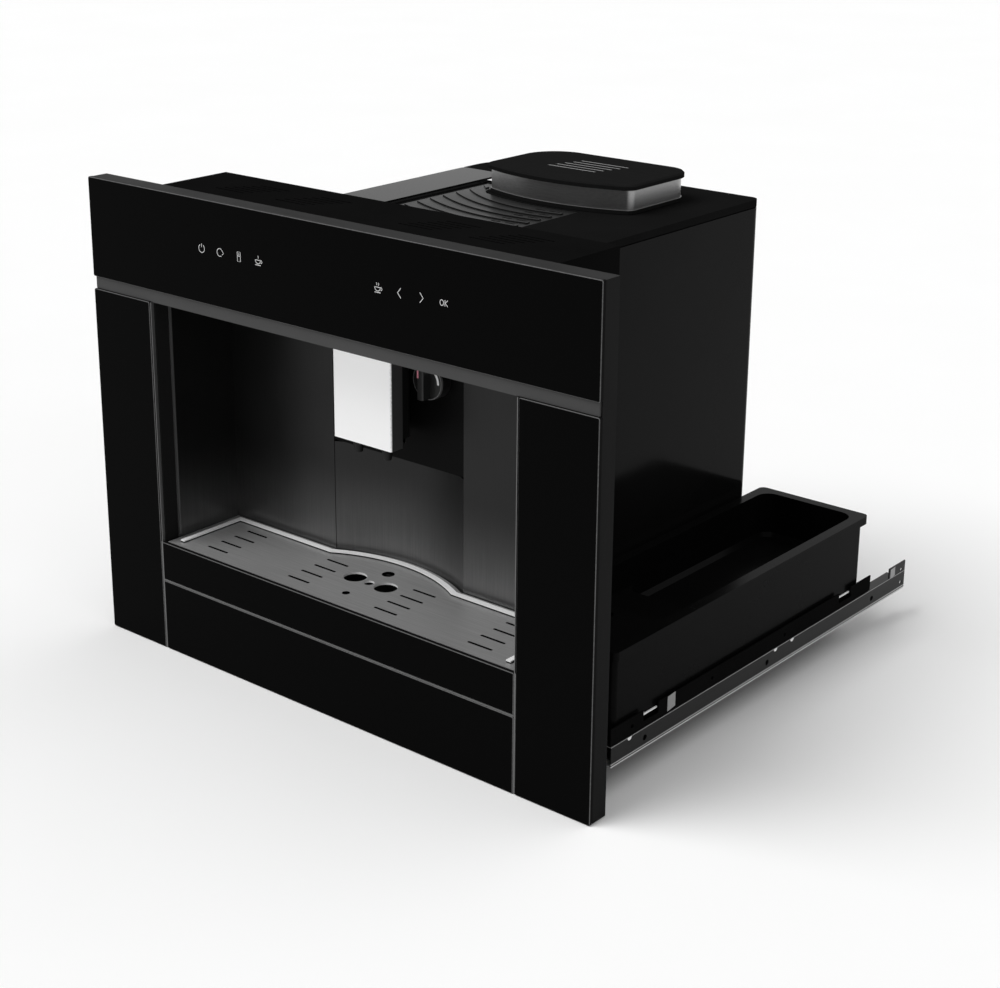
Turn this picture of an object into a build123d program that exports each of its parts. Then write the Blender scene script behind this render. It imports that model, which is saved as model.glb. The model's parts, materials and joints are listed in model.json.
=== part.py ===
from build123d import *
import os
from math import asin, cos, degrees, pi, sin, sqrt

# Built-in coffee machine: glass front, niche with spout and drip drawer, body on telescopic
# rails, side trays, side water tank and bean hopper.  Millimetres.  While it is drawn, X is
# to the right, Y runs from the glass face into the cabinet and Z up from the front's foot.

# ---- common ----
CLEAR = 0.4
SHEET = 1.2
SLOT_CORNER = 0.29
OVER = 1.0

# ---- front ----
FRONT_WIDTH = 595.0
FRONT_HEIGHT = 455.0
GLASS = 4.0
GLASS_EDGE = 0.6
GLASS_CORNER = 1.6
FRAME_DEPTH = 22.0
FRAME_SHEET = 1.4
FRAME_INSET = 0.5
FASCIA_HEIGHT = 95.0
BAND_HEIGHT = 12.0
BAND_SETBACK = 2.0
COLUMN_WIDTH = 78.5
PANEL_HEIGHT = 71.0
STRIP_HEIGHT = 38.0
SEAM = 1.8
TRIM_DEPTH = 3.4
HIGH_TRIM = 0.8
NICHE_LIP = 3.0
WINDOW_WIDTH = 320.0
WINDOW_HEIGHT = 52.0

# ---- display board ----
BOARD_MARGIN = 4.0
BOARD_SHEET = 1.6
KEY_REACH = 2.0
KEY_SIZE = 16.0
KEY_FIRST = 73.0
KEY_PITCH = 24.0
KEY_ROWS = 4
SCREEN_WIDTH = 96.0
SCREEN_HEIGHT = 28.0
PLUG_X = 110.0

# ---- front box and niche ----
SIDE_ROOM = 50.0
BOX_BACK = 112.0
BOX_DROP = 4.0
BOX_FOOT = 20.0
BOX_WINDOW = 12.0
WING_GAP = 5.0
LOUVRE_PLACES = (-152.0, -74.0, 74.0, 152.0)
LOUVRE_Y = 72.0
LOUVRE_COUNT = 6
LOUVRE_LENGTH = 38.0
LOUVRE_WIDTH = 2.4
LOUVRE_STEP_X = 5.0
LOUVRE_STEP_Y = 6.5
LINER = 1.6
LINER_DEPTH = 78.0
BAY_HALF = 79.5
BREW_PANEL = 2.2
SLOT_HALF = 10.0
SLOT_MARGIN = 4.0

# ---- body ----
BODY_HALF = 157.0
BODY_BACK = 440.0
BODY_FOOT = 20.0
DECK_DROP = 28.0
DECK_HEIGHT = 14.0
DECK_EDGE = 7.0
DECK_GAP = 1.0
DECK_PLATE = 5.0
DECK_SHEET = 3.0
CORNER_LEFT = 46.0
CORNER_RIGHT = 10.0
BASE_EDGE = 14.0
VENT_COLUMNS = 3
VENT_ROWS = 5
VENT_LENGTH = 42.0
VENT_WIDTH = 4.0

# ---- drip drawer ----
TUB_WALL = 2.0
TUB_HALF = 204.0
TUB_BACK = 88.0
GRILLE_GAP = 1.5
GRILLE_SHEET = 2.0
RIM_HALF = 204.0
RIM_FRONT = 12.0
RIM_BACK = 90.0
RIM_WIDTH = 5.0
RIM_HEIGHT = 2.4
BULGE_DEPTH = 20.5
DRIP_SLOT_LENGTH = 27.0
DRIP_SLOT_WIDTH = 2.8
DRIP_SLOT_PITCH = 17.0
DRIP_SLOT_FIRST = 22.0
DRIP_ROWS = 4
DRIP_COLUMNS = (54.0, 162.5)
DRAIN_X = 19.0
DRAIN_Y = 60.0
DRAIN_RADIUS = 11.0
MIDDLE_HOLES = ((28.0, 3.7), (58.0, 5.0), (84.0, 6.0))
CONTAINER_GAP = 27.0
CONTAINER_HALF = 74.0
CONTAINER_BACK = 286.0
CONTAINER_CORNER = 12.0
SKIN = 4.0
CRADLE_HEIGHT = 12.0

# ---- spout and knob ----
SPOUT_HALF = 35.0
SPOUT_FRONT = 52.0
SPOUT_SIDE = 15.0
SPOUT_HEIGHT = 156.0
SPOUT_DROP = 53.0
SPOUT_SHEET = 1.5
SPOUT_TRAVEL = 45.0
CORE_HALF = 26.0
CORE_GAP = 8.0
TONGUE_HEIGHT = 34.0
NOZZLE_GAP = 35.0
NOZZLE_DROP = 14.0
NOZZLE_BORE = 2.2
GUIDE_RADIUS = 3.0
GUIDE_GAP = 36.0
GUIDE_SETBACK = 10.5
GUIDE_BLOCK = 7.0
KNOB_X = 48.0
KNOB_DROP = 42.0
KNOB_RADIUS = 17.0
KNOB_FRONT = 75.0
KNOB_DISC = 85.0
GRIP_HALF = 3.5
KNOB_SHAFT = 3.0
VALVE_HALF = 13.0

# ---- water tank ----
TANK_WIDTH = 56.0
TANK_FRONT = 118.0
TANK_BACK = 372.0
TANK_HEIGHT = 191.0
TANK_WALL = 2.5
TANK_CORNER = 6.0
LID_THICK = 5.0
LID_EDGE = 3.0
HINGE_SETBACK = 62.0
HINGE_DROP = 7.0
HINGE_ROD = 3.0
CLIP_WALL = 3.0
CLIP_WIDTH = 12.0
CLIP_ARM = 2.2
CLIP_PLACES = (143.0, 347.0)
NOTCH_REACH = 8.0
POST = 4.0
VALVE_Y = 250.0
VALVE_RADIUS = 6.8
DOCK_DROP = 6.0

# ---- cup shelf ----
SHELF_RIGHT = 63.0
SHELF_FRONT = 120.0
SHELF_BACK = 325.0
SHELF_SHEET = 1.5
SHELF_SINK = 0.4
SHELF_MARGIN = 5.0
RIB_COUNT = 9
RIB_PITCH = 16.0
RIB_FIRST = 145.0
RIB_CREST = 272.0
RIB_WIDTH = 4.0
RIB_HEIGHT = 1.4
SHELF_SLOT = 11.0

# ---- bean hopper and its lid ----
HOPPER_LEFT = -60.0
HOPPER_RIGHT = 108.0
HOPPER_FRONT = 298.0
HOPPER_BACK = 392.0
HOPPER_BULGE = 18.0
HOPPER_WALL = 2.0
LID_FOOT = 4.0
CAP_HEIGHT = 5.0
CAP_OVERHANG = 3.0
CAP_SLOTS = 5
CAP_SLOT_LENGTH = 58.0
MOUTH_WIDTH = 132.0
MOUTH_DEPTH = 72.0
MOUTH_DROP = 30.0
RIM_RISE = 6.0
THROAT = 44.0
THROAT_DROP = 83.0
THROAT_NECK = 14.0

# ---- grinder ----
GRINDER_Y = 345.0
GRINDER_HEIGHT = 64.0
GRINDER_RADIUS = 42.0
POT_WALL = 4.0
BURR_BORE = 27.0
BURR_RADIUS = 20.0
BURR_HEIGHT = 30.0
BURR_TEETH = 8
RING_NOTCHES = 12
MOTOR_RADIUS = 31.0
MOTOR_HEIGHT = 92.0
CHUTE_LEFT = -2.0
CHUTE_WIDTH = 24.0
CHUTE_WALL = 3.0

# ---- brew unit ----
BREW_Y = 176.0
BREW_HALF = 42.0
BREW_REACH = 38.0
BREW_DROP = 18.0
BREW_RISE = 7.0
CHAMBER_RADIUS = 27.0
CHAMBER_BORE = 22.0
CHAMBER_RISE = 20.0
CHAMBER_HEIGHT = 46.0
PISTON_GAP = 6.0
PISTON_HEIGHT = 16.0
PISTON_ROD = 6.0

# ---- boiler, pump, boards and hoses ----
BOILER_X = 110.0
BOILER_Y = 176.0
BOILER_RADIUS = 34.0
BOILER_HEIGHT = 80.0
BOILER_DROP = 127.0
BOILER_LEG = 74.0
FLANGE_RADIUS = 41.0
BOLT_CIRCLE = 37.5
BOLT_COUNT = 6
PUMP_X = -110.0
PUMP_Z = 110.0
PUMP_HALF = 21.0
PUMP_FRONT = 260.0
PUMP_BACK = 400.0
PUMP_NECK = 14.0
COIL_SETBACK = 40.0
COIL_LENGTH = 52.0
CRADLE_INSET = 6.0
HOSE = 3.0
HOSE_SIDES = 12
HOSE_STUB = 12.0
HOSE_RISE = 30.0
HOSE_BEND_Y = 200.0
HOSE_LEVEL = 48.0
HOSE_TURN = 60.0
HOSE_DRIP = 22.0
BOARD_FRONT = 300.0
BOARD_BACK = 420.0
BOARD_FOOT = 100.0
BOARD_TOP = 220.0
INLET_X = 110.0
INLET_Z = 60.0
SCREW_HEAD = 1.8
SCREW_SIZE = 3.6
SIDE_SCREWS = (150.0, 270.0, 390.0)

# ---- rails, carriers and trays ----
RAIL_SETBACK = 16.5
RAIL_FRONT = 50.0
RAIL_LENGTH = 480.0
RAIL_FOOT = 26.0
RAIL_HEIGHT = 19.4
RAIL_SHEET = 1.2
RAIL_DEPTH = 10.5
RAIL_STEP = 2.8
CAGE = 1.2
TAB_LENGTH = 18.0
TAB_HEIGHT = 30.0
TAB_HOLE = 2.0
MOUNT_HOLE = 2.75
MOUNT_PITCH = 192.0
MOUNT_COUNT = 3
CARRIER_Z = 46.0
CARRIER_BACK = 478.0
CARRIER_LIP = 15.5
CARRIER_EDGE = 24.0
TRAY_GAP = 3.0
TRAY_FRONT = 52.0
TRAY_BACK = 465.0
TRAY_TOP = 129.0
TRAY_WALL = 2.4
TRAY_LIP = 4.0
TRAY_LIP_HEIGHT = 8.0
TRAY_CORNER = 14.0
TRAY_ROUND = 6.0
TRAY_MARGIN = 10.4
TRAY_FLOOR = 84.0
TRAY_LEDGE = 101.0
TRAY_STEP_Y = 218.0

# ---- places that several pieces share ----
DEPTH = RAIL_FRONT + RAIL_LENGTH + TAB_LENGTH
FASCIA_FOOT = FRONT_HEIGHT - FASCIA_HEIGHT
BAND_FOOT = FASCIA_FOOT - BAND_HEIGHT
OPENING_TOP = BAND_FOOT + FRAME_SHEET * 2 + CLEAR
COLUMN_INNER = FRONT_WIDTH / 2 - COLUMN_WIDTH
OPENING_HALF = COLUMN_INNER - SEAM - CLEAR
STRIP_FOOT = PANEL_HEIGHT + SEAM
STRIP_TOP = STRIP_FOOT + STRIP_HEIGHT
GRILLE_TOP = STRIP_TOP + CLEAR / 2
FRAME_PLATE = GLASS + FRAME_SHEET
LINER_HALF = OPENING_HALF - FRAME_SHEET - CLEAR
LINER_FRONT = FRAME_DEPTH - FRAME_SHEET * 2
LINER_BACK = LINER_FRONT + LINER_DEPTH
PANEL_Y = LINER_BACK + CLEAR
RAIL_OUT = FRONT_WIDTH / 2 - RAIL_SETBACK
BOX_HALF = RAIL_OUT - SIDE_ROOM
BOX_TOP = FRONT_HEIGHT - BOX_DROP
WING_FOOT = TRAY_TOP + WING_GAP
BODY_FRONT = BOX_BACK + CLEAR
DECK_TOP = FRONT_HEIGHT - DECK_DROP
WALL_TOP = DECK_TOP - DECK_EDGE - DECK_GAP
SPOUT_TOP = FRONT_HEIGHT - SPOUT_DROP
SPOUT_FOOT = SPOUT_TOP - SPOUT_HEIGHT
CONTAINER_TOP = SPOUT_FOOT - CONTAINER_GAP
DRAWER_FOOT = STRIP_FOOT + 1
GUIDE_Y = PANEL_Y + GUIDE_SETBACK
KNOB_Z = BAND_FOOT - KNOB_DROP
TANK_LEFT = -BODY_HALF
TANK_RIGHT = TANK_LEFT + TANK_WIDTH
TANK_FOOT = DECK_TOP - TANK_HEIGHT
TANK_TOP = DECK_TOP - LID_THICK - CLEAR
HINGE_X = TANK_LEFT + HINGE_SETBACK
HINGE_Z = DECK_TOP - HINGE_DROP
CLIP_RADIUS = HINGE_ROD + CLIP_WALL
LID_INNER = HINGE_X - CLIP_RADIUS - 1.5
VALVE_X = (TANK_LEFT + TANK_RIGHT) / 2
SHELF_LEFT = HINGE_X + NOTCH_REACH + 2
GRINDER_X = (HOPPER_LEFT + HOPPER_RIGHT) / 2
THROAT_Z = DECK_TOP - THROAT_DROP
GRINDER_TOP = THROAT_Z - THROAT_NECK
BREW_TOP = DECK_TOP - BREW_DROP
BREW_FOOT = CONTAINER_TOP + BREW_RISE
CHAMBER_FOOT = BREW_FOOT + CHAMBER_RISE
CHAMBER_TOP = CHAMBER_FOOT + CHAMBER_HEIGHT
CHUTE_Z = GRINDER_TOP - 40
BOILER_Z = DECK_TOP - BOILER_DROP
REAR_SCREWS = [(x, z) for x in (-100, 20, 140) for z in (40, 220, DECK_TOP - 31)]
MOUNT_FIRST = RAIL_FRONT + RAIL_LENGTH / 2 - MOUNT_PITCH
TRAY_INSIDE = BODY_HALF + TRAY_GAP


def block(x0, x1, y0, y1, z0, z1):
    """A plate or bar between two corners."""
    middle = ((x0 + x1) / 2, (y0 + y1) / 2, (z0 + z1) / 2)
    return Pos(*middle) * Box(abs(x1 - x0), abs(y1 - y0), abs(z1 - z0))


def rod_z(x, y, z0, z1, radius):
    """An upright round bar."""
    return Pos(x, y, (z0 + z1) / 2) * Cylinder(radius, z1 - z0)


def rod_y(x, z, y0, y1, radius):
    """A round bar along the depth."""
    return Pos(x, (y0 + y1) / 2, z) * Rot(90, 0, 0) * Cylinder(radius, y1 - y0)


def rod_x(y, z, x0, x1, radius):
    """A round bar across the width."""
    return Pos((x0 + x1) / 2, y, z) * Rot(0, 90, 0) * Cylinder(radius, x1 - x0)


def plan(points):
    """A straight-sided outline seen from above."""
    return make_face(Polyline(*points, close=True))


def slot(length, width, reach):
    """Cutter for a long hole along X with cut corners, which reaches both ways along Z."""
    a = length / 2
    b = width / 2
    c = width * SLOT_CORNER
    right = ((a - c, -b), (a, c - b), (a, b - c), (a - c, b))
    left = ((c - a, b), (-a, b - c), (-a, c - b), (c - a, -b))
    return extrude(plan(right + left), reach, both=True)


def hexagon(size, height):
    """Six-sided bolt head, standing on its foot."""
    return extrude(RegularPolygon(size, 6), height)


def save(name, shape):
    """Moves a piece to the part's own frame, whose origin is under the middle, and writes it."""
    export_step(Pos(0, -DEPTH / 2, 0) * shape, f"parts/{name}.step")


def save_pair(name, right):
    """Writes a right-hand piece and its mirror image."""
    save(f"{name}_right", right)
    save(f"{name}_left", mirror(right, about=Plane.YZ))


def both_sides(right):
    """A right-hand piece and its mirror image as one group."""
    return Compound([right, mirror(right, about=Plane.YZ)])


# ---- front: frame, glasses, band and trims ----
def front_frame():
    """Folded sheet pan with a collar round the niche and a window for the display."""
    half = FRONT_WIDTH / 2 - FRAME_INSET
    top = FRONT_HEIGHT - FRAME_INSET
    pan = block(-half, half, GLASS, FRAME_DEPTH, FRAME_INSET, top)
    inner = half - FRAME_SHEET
    pan -= block(-inner, inner, FRAME_PLATE, FRAME_DEPTH, FRAME_INSET + FRAME_SHEET, top - FRAME_SHEET)
    pan += block(-OPENING_HALF, OPENING_HALF, GLASS, LINER_FRONT, PANEL_HEIGHT, OPENING_TOP)
    edge = OPENING_HALF - FRAME_SHEET
    pan -= block(-edge, edge, 0, FRAME_DEPTH, PANEL_HEIGHT + FRAME_SHEET, OPENING_TOP - FRAME_SHEET)
    window_middle = FASCIA_FOOT + FASCIA_HEIGHT / 2
    return pan - Pos(0, FRAME_PLATE, window_middle) * Box(WINDOW_WIDTH, FRAME_DEPTH, WINDOW_HEIGHT)


def glass_plate(x0, x1, z0, z1):
    """Glass with small round corners and a ground front edge."""
    plate = block(x0, x1, 0, GLASS, z0, z1)
    plate = fillet(plate.edges().filter_by(Axis.Y), GLASS_CORNER)
    return chamfer(plate.faces().sort_by(Axis.Y)[0].edges(), GLASS_EDGE)


def front_band():
    """Strip between the fascia and the niche, folded back over the niche's upper edge."""
    half = FRONT_WIDTH / 2 - SEAM
    band = block(-half, half, BAND_SETBACK, GLASS, BAND_FOOT + CLEAR, FASCIA_FOOT - CLEAR)
    band += block(-LINER_HALF, LINER_HALF, BAND_SETBACK, GLASS, BAND_FOOT, BAND_FOOT + CLEAR)
    fold_back = LINER_FRONT - CLEAR
    return band + block(-LINER_HALF, LINER_HALF, BAND_SETBACK, fold_back, BAND_FOOT, BAND_FOOT + FRAME_SHEET)


def metal_trims():
    """Thin bright strips: between the glasses, beside the niche and on the liner's front edges."""
    y0 = GLASS - TRIM_DEPTH
    outer = COLUMN_INNER - CLEAR / 2
    inner = outer - SEAM
    low = block(inner, outer, y0, GLASS, GLASS_EDGE, STRIP_TOP)
    high = block(inner, inner + HIGH_TRIM, y0, GLASS, STRIP_TOP, BAND_FOOT - CLEAR)
    lip_foot = GRILLE_TOP + RIM_HEIGHT + 1
    lip = block(LINER_HALF - NICHE_LIP, LINER_HALF, LINER_FRONT, LINER_FRONT + SHEET, lip_foot, BAND_FOOT)
    upright = low + high
    seam_half = inner - CLEAR / 2
    seam = block(-seam_half, seam_half, y0, GLASS, PANEL_HEIGHT + CLEAR / 2, STRIP_FOOT - CLEAR / 2)
    pieces = [upright, lip]
    return Compound(pieces + [mirror(piece, about=Plane.YZ) for piece in pieces] + [seam])


def display_board():
    """The key and display board behind the fascia, with its key pads, screen and two plugs."""
    middle = FASCIA_FOOT + FASCIA_HEIGHT / 2
    front = GLASS + CLEAR / 2
    face = front + KEY_REACH
    back = face + BOARD_SHEET
    half = WINDOW_WIDTH / 2 - BOARD_MARGIN
    rise = WINDOW_HEIGHT / 2 - BOARD_MARGIN
    board = block(-half, half, face, back, middle - rise, middle + rise)
    for side in (-1, 1):
        for index in range(KEY_ROWS):
            x = side * (KEY_FIRST + KEY_PITCH * index)
            board += Pos(x, front + KEY_REACH / 2, middle) * Box(KEY_SIZE, KEY_REACH, KEY_SIZE)
        board += block(side * PLUG_X - 12, side * PLUG_X + 12, back, back + 7, middle - 18, middle - 8)
    return board + Pos(0, front + KEY_REACH / 2, middle) * Box(SCREEN_WIDTH, KEY_REACH, SCREEN_HEIGHT)


# ---- front box: the sheet housing behind the frame ----
def louvre_group(x):
    """Slots along X, each one set off from the next."""
    slots = []
    for index in range(LOUVRE_COUNT):
        step = index - (LOUVRE_COUNT - 1) / 2
        place = (x + step * LOUVRE_STEP_X, LOUVRE_Y + step * LOUVRE_STEP_Y, BOX_TOP)
        slots.append(Pos(*place) * slot(LOUVRE_LENGTH, LOUVRE_WIDTH, SHEET * 2))
    return slots


def front_box():
    """Sheet housing, wide above the trays and narrow between them, open at the front."""
    lower_half = LINER_HALF + LINER + CLEAR + SHEET
    box = block(-BOX_HALF, BOX_HALF, FRAME_DEPTH, BOX_BACK, WING_FOOT, BOX_TOP)
    box += block(-lower_half, lower_half, FRAME_DEPTH, BOX_BACK, BOX_FOOT, WING_FOOT)
    inner = lower_half - SHEET
    hollow_back = BOX_BACK - SHEET
    box -= block(SHEET - BOX_HALF, BOX_HALF - SHEET, 0, hollow_back, WING_FOOT + SHEET, BOX_TOP - SHEET)
    box -= block(-inner, inner, 0, hollow_back, BOX_FOOT + SHEET, WING_FOOT + SHEET * 2)
    window = BODY_HALF - BOX_WINDOW
    window_foot = BOX_FOOT + BOX_WINDOW
    box -= block(-window, window, hollow_back - OVER, BOX_BACK + OVER, window_foot, DECK_TOP - DECK_HEIGHT)
    for x in LOUVRE_PLACES:
        box -= louvre_group(x)
    return box


# ---- niche: liner, brew panel ----
def niche_liner():
    """Side walls, back wall and ceiling; the floor is the drip drawer."""
    outer = LINER_HALF + LINER
    top = BAND_FOOT + LINER
    liner = block(-outer, outer, LINER_FRONT, LINER_BACK + LINER, STRIP_FOOT, top)
    liner -= block(-LINER_HALF, LINER_HALF, 0, LINER_BACK, 0, BAND_FOOT)
    liner -= block(-BAY_HALF, BAY_HALF, LINER_BACK - OVER, BOX_BACK, 0, BAND_FOOT)
    well = SPOUT_HALF + 1.5
    return liner - block(-well, well, SPOUT_FRONT - 1.5, BOX_BACK, BAND_FOOT - OVER, top + OVER)


def brew_front_panel():
    """The flat dark panel that carries the spout guide and the knob."""
    half = BAY_HALF - CLEAR
    top = BAND_FOOT - CLEAR
    foot = CONTAINER_TOP + 2
    panel = block(-half, half, PANEL_Y, PANEL_Y + BREW_PANEL, foot, top)
    panel -= block(-SLOT_HALF, SLOT_HALF, 0, BOX_BACK, foot + SLOT_MARGIN * 4, top - SLOT_MARGIN)
    return panel - rod_y(KNOB_X, KNOB_Z, 0, BOX_BACK, KNOB_SHAFT + 1)


# ---- drip drawer ----
def bulge_region(front, half, back, swell):
    """Plan outline: straight sides and back, with a round swell at the middle of the back."""
    crest = (0, back + BULGE_DEPTH)
    round_back = ThreePointArc((swell, back), crest, (-swell, back))
    sides = Polyline(
        (-swell, back), (-half, back), (-half, front), (half, front), (half, back), (swell, back),
    )
    return make_face([round_back, sides])


def drip_tub():
    """Catch basin, with a cradle behind it that carries the grounds container."""
    top = GRILLE_TOP - GRILLE_SHEET - CLEAR / 2
    tub = block(-TUB_HALF, TUB_HALF, GLASS, TUB_BACK, DRAWER_FOOT, top)
    inner = TUB_HALF - TUB_WALL
    floor = DRAWER_FOOT + TUB_WALL
    tub -= block(-inner, inner, GLASS + TUB_WALL, TUB_BACK - TUB_WALL, floor, top)
    hold = CONTAINER_HALF + CLEAR
    cradle = hold + TUB_WALL
    back = CONTAINER_BACK + CLEAR
    tub += block(-cradle, cradle, TUB_BACK, back + TUB_WALL, DRAWER_FOOT, DRAWER_FOOT + CRADLE_HEIGHT)
    return tub - block(-hold, hold, TUB_BACK, back, floor, top)


def drip_slots():
    """Cutters for the rows of slots on both sides."""
    cutters = []
    for column in DRIP_COLUMNS:
        for side in (-1, 1):
            for row in range(DRIP_ROWS):
                place = (side * column, DRIP_SLOT_FIRST + DRIP_SLOT_PITCH * row, GRILLE_TOP)
                cutters.append(Pos(*place) * slot(DRIP_SLOT_LENGTH, DRIP_SLOT_WIDTH, GRILLE_SHEET * 2))
    return cutters


def drip_grille():
    """Pressed steel grille: raised rim round three sides, a swelling back edge and drain holes."""
    base = GRILLE_TOP - GRILLE_SHEET
    swell = BAY_HALF - 2
    edge = bulge_region(GLASS + CLEAR, LINER_HALF - GRILLE_GAP, LINER_BACK - SHEET, swell)
    outer = bulge_region(RIM_FRONT, RIM_HALF, RIM_BACK, swell)
    inner = bulge_region(0, RIM_HALF - RIM_WIDTH, RIM_BACK - RIM_WIDTH, swell - 2)
    grille = Pos(0, 0, base) * extrude(edge, GRILLE_SHEET)
    grille += Pos(0, 0, base) * extrude(outer - inner, GRILLE_SHEET + RIM_HEIGHT)
    grille -= drip_slots()
    for x in (-DRAIN_X, DRAIN_X):
        grille -= rod_z(x, DRAIN_Y, base - OVER, GRILLE_TOP + OVER, DRAIN_RADIUS)
    for y, radius in MIDDLE_HOLES:
        grille -= rod_z(0, y, base - OVER, GRILLE_TOP + OVER, radius)
    return grille


def grounds_container():
    """Box for the pucks, whose front is the hollow-curved lower panel of the niche."""
    foot = DRAWER_FOOT + TUB_WALL + CLEAR / 2
    front_half = BAY_HALF - CLEAR
    hollow = BULGE_DEPTH - 1
    radius = (front_half ** 2 + hollow ** 2) / (2 * hollow)
    skin_back = PANEL_Y + hollow + SKIN
    skin = block(-front_half, front_half, PANEL_Y, skin_back, foot + CRADLE_HEIGHT, CONTAINER_TOP)
    body = block(-CONTAINER_HALF, CONTAINER_HALF, PANEL_Y + hollow, CONTAINER_BACK, foot, CONTAINER_TOP)
    body = fillet(body.edges().filter_by(Axis.Z).sort_by(Axis.Y)[-2:], CONTAINER_CORNER)
    shape = skin + body
    shape -= rod_z(0, PANEL_Y + hollow - radius, foot - OVER, CONTAINER_TOP + OVER, radius)
    inner = CONTAINER_HALF - TUB_WALL
    inner_back = CONTAINER_BACK - TUB_WALL
    well = block(-inner, inner, skin_back, inner_back, foot + TUB_WALL, CONTAINER_TOP + OVER)
    return shape - fillet(well.edges().filter_by(Axis.Z).sort_by(Axis.Y)[-2:], CONTAINER_CORNER - TUB_WALL)


# ---- spout ----
def spout_cover():
    """Folded steel cover, open at the back."""
    cover = block(-SPOUT_HALF, SPOUT_HALF, SPOUT_FRONT, SPOUT_FRONT + SPOUT_SIDE, SPOUT_FOOT, SPOUT_TOP)
    cover = fillet(cover.edges().filter_by(Axis.Z).sort_by(Axis.Y)[:2], 2.0)
    inner = SPOUT_HALF - SPOUT_SHEET
    y0 = SPOUT_FRONT + SPOUT_SHEET
    return cover - block(-inner, inner, y0, BOX_BACK, SPOUT_FOOT - OVER, SPOUT_TOP + OVER)


def spout_core():
    """Moulded outlet block with its carriage, which runs on the guide rods."""
    y0 = SPOUT_FRONT + SPOUT_SHEET
    core = block(-CORE_HALF, CORE_HALF, y0, PANEL_Y - CORE_GAP, SPOUT_FOOT + 4, SPOUT_TOP - CORE_GAP)
    core = fillet(core.edges().filter_by(Axis.Z).sort_by(Axis.Y)[-2:], 6)
    lug = SPOUT_HALF - SPOUT_SHEET
    core += block(-lug, lug, y0, y0 + 5, SPOUT_FOOT + 20, SPOUT_TOP - 20)
    tongue = SLOT_HALF - 1.5
    z0 = SPOUT_FOOT + SPOUT_TRAVEL
    z1 = z0 + TONGUE_HEIGHT
    core += block(-tongue, tongue, PANEL_Y - 10, PANEL_Y + 10, z0, z1)
    reach = GUIDE_GAP / 2 + GUIDE_RADIUS + 3
    core += block(-reach, reach, GUIDE_Y - 5.5, GUIDE_Y + 5.5, z0, z1)
    for side in (-1, 1):
        core -= rod_z(side * GUIDE_GAP / 2, GUIDE_Y, z0 - OVER, z1 + OVER, GUIDE_RADIUS + CLEAR)
    return core


def spout_nozzles():
    """Two tapered outlets under the spout."""
    profile = make_face(Polyline(
        (NOZZLE_BORE, 0, -NOZZLE_DROP), (3.6, 0, -NOZZLE_DROP), (5.5, 0, -4), (7.5, 0, 4),
        (NOZZLE_BORE, 0, 4), close=True,
    ))
    nozzle = revolve(profile, Axis.Z)
    y = SPOUT_FRONT + SPOUT_SIDE - 1
    return Compound([Pos(side * NOZZLE_GAP / 2, y, SPOUT_FOOT) * nozzle for side in (-1, 1)])


def spout_guide():
    """Two upright rods in end blocks, behind the brew panel."""
    foot = CONTAINER_TOP + 8
    top = SPOUT_TOP
    half = 30
    stile = 5.5
    y0 = PANEL_Y + BREW_PANEL
    y1 = GUIDE_Y + GUIDE_BLOCK
    guide = block(-half, half, y0, y1, foot, foot + GUIDE_BLOCK)
    guide += block(-half, half, y0 + 3, y1, top, top + GUIDE_BLOCK)
    guide += block(half - stile, half, y1 - 4, y1, foot, top + GUIDE_BLOCK)
    guide += block(-half, stile - half, y1 - 4, y1, foot, top + GUIDE_BLOCK)
    for side in (-1, 1):
        guide += rod_z(side * GUIDE_GAP / 2, GUIDE_Y, foot, top + GUIDE_BLOCK, GUIDE_RADIUS)
    return guide


# ---- hot water and steam knob ----
def steam_knob():
    """Round knob with a bar grip and a shaft through the brew panel."""
    seat = PANEL_Y - 0.6
    knob = rod_y(KNOB_X, KNOB_Z, KNOB_DISC, seat, KNOB_RADIUS)
    knob = chamfer(knob.edges().sort_by(Axis.Y)[0], 1.5)
    grip = rod_y(KNOB_X, KNOB_Z, KNOB_FRONT, KNOB_DISC, KNOB_RADIUS - 1.6)
    band = block(KNOB_X - GRIP_HALF, KNOB_X + GRIP_HALF, 0, BOX_BACK, KNOB_Z - 20, KNOB_Z + 20)
    grip = chamfer((grip & band).faces().sort_by(Axis.Y)[0].edges(), 1.0)
    return knob + grip + rod_y(KNOB_X, KNOB_Z, seat, PANEL_Y + 16, KNOB_SHAFT)


def steam_valve():
    """Valve body behind the brew panel, bored for the knob's shaft."""
    y0 = PANEL_Y + BREW_PANEL
    top = KNOB_Z + VALVE_HALF
    valve = block(KNOB_X - VALVE_HALF, KNOB_X + VALVE_HALF, y0, y0 + 30, KNOB_Z - VALVE_HALF, top)
    valve = chamfer(valve.edges().filter_by(Axis.Y), 3)
    valve += rod_z(KNOB_X, y0 + 20, top, top + 12, 5)
    return valve - rod_y(KNOB_X, KNOB_Z, 0, PANEL_Y + 18, KNOB_SHAFT + CLEAR)


# ---- body shell ----
def body_outline(shrink=0.0):
    """The body in plan, with one wide rounded rear corner."""
    x0 = -BODY_HALF + shrink
    x1 = BODY_HALF - shrink
    y1 = BODY_BACK - shrink
    left = CORNER_LEFT - shrink
    right = CORNER_RIGHT - shrink
    straight = Polyline((x0, y1 - left), (x0, BODY_FRONT), (x1, BODY_FRONT), (x1, y1 - right))
    turn_right = RadiusArc((x1, y1 - right), (x1 - right, y1), -right, short_sagitta=True)
    back = Line((x1 - right, y1), (x0 + left, y1))
    turn_left = RadiusArc((x0 + left, y1), (x0, y1 - left), -left, short_sagitta=True)
    return make_face([straight, turn_right, back, turn_left])


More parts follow.
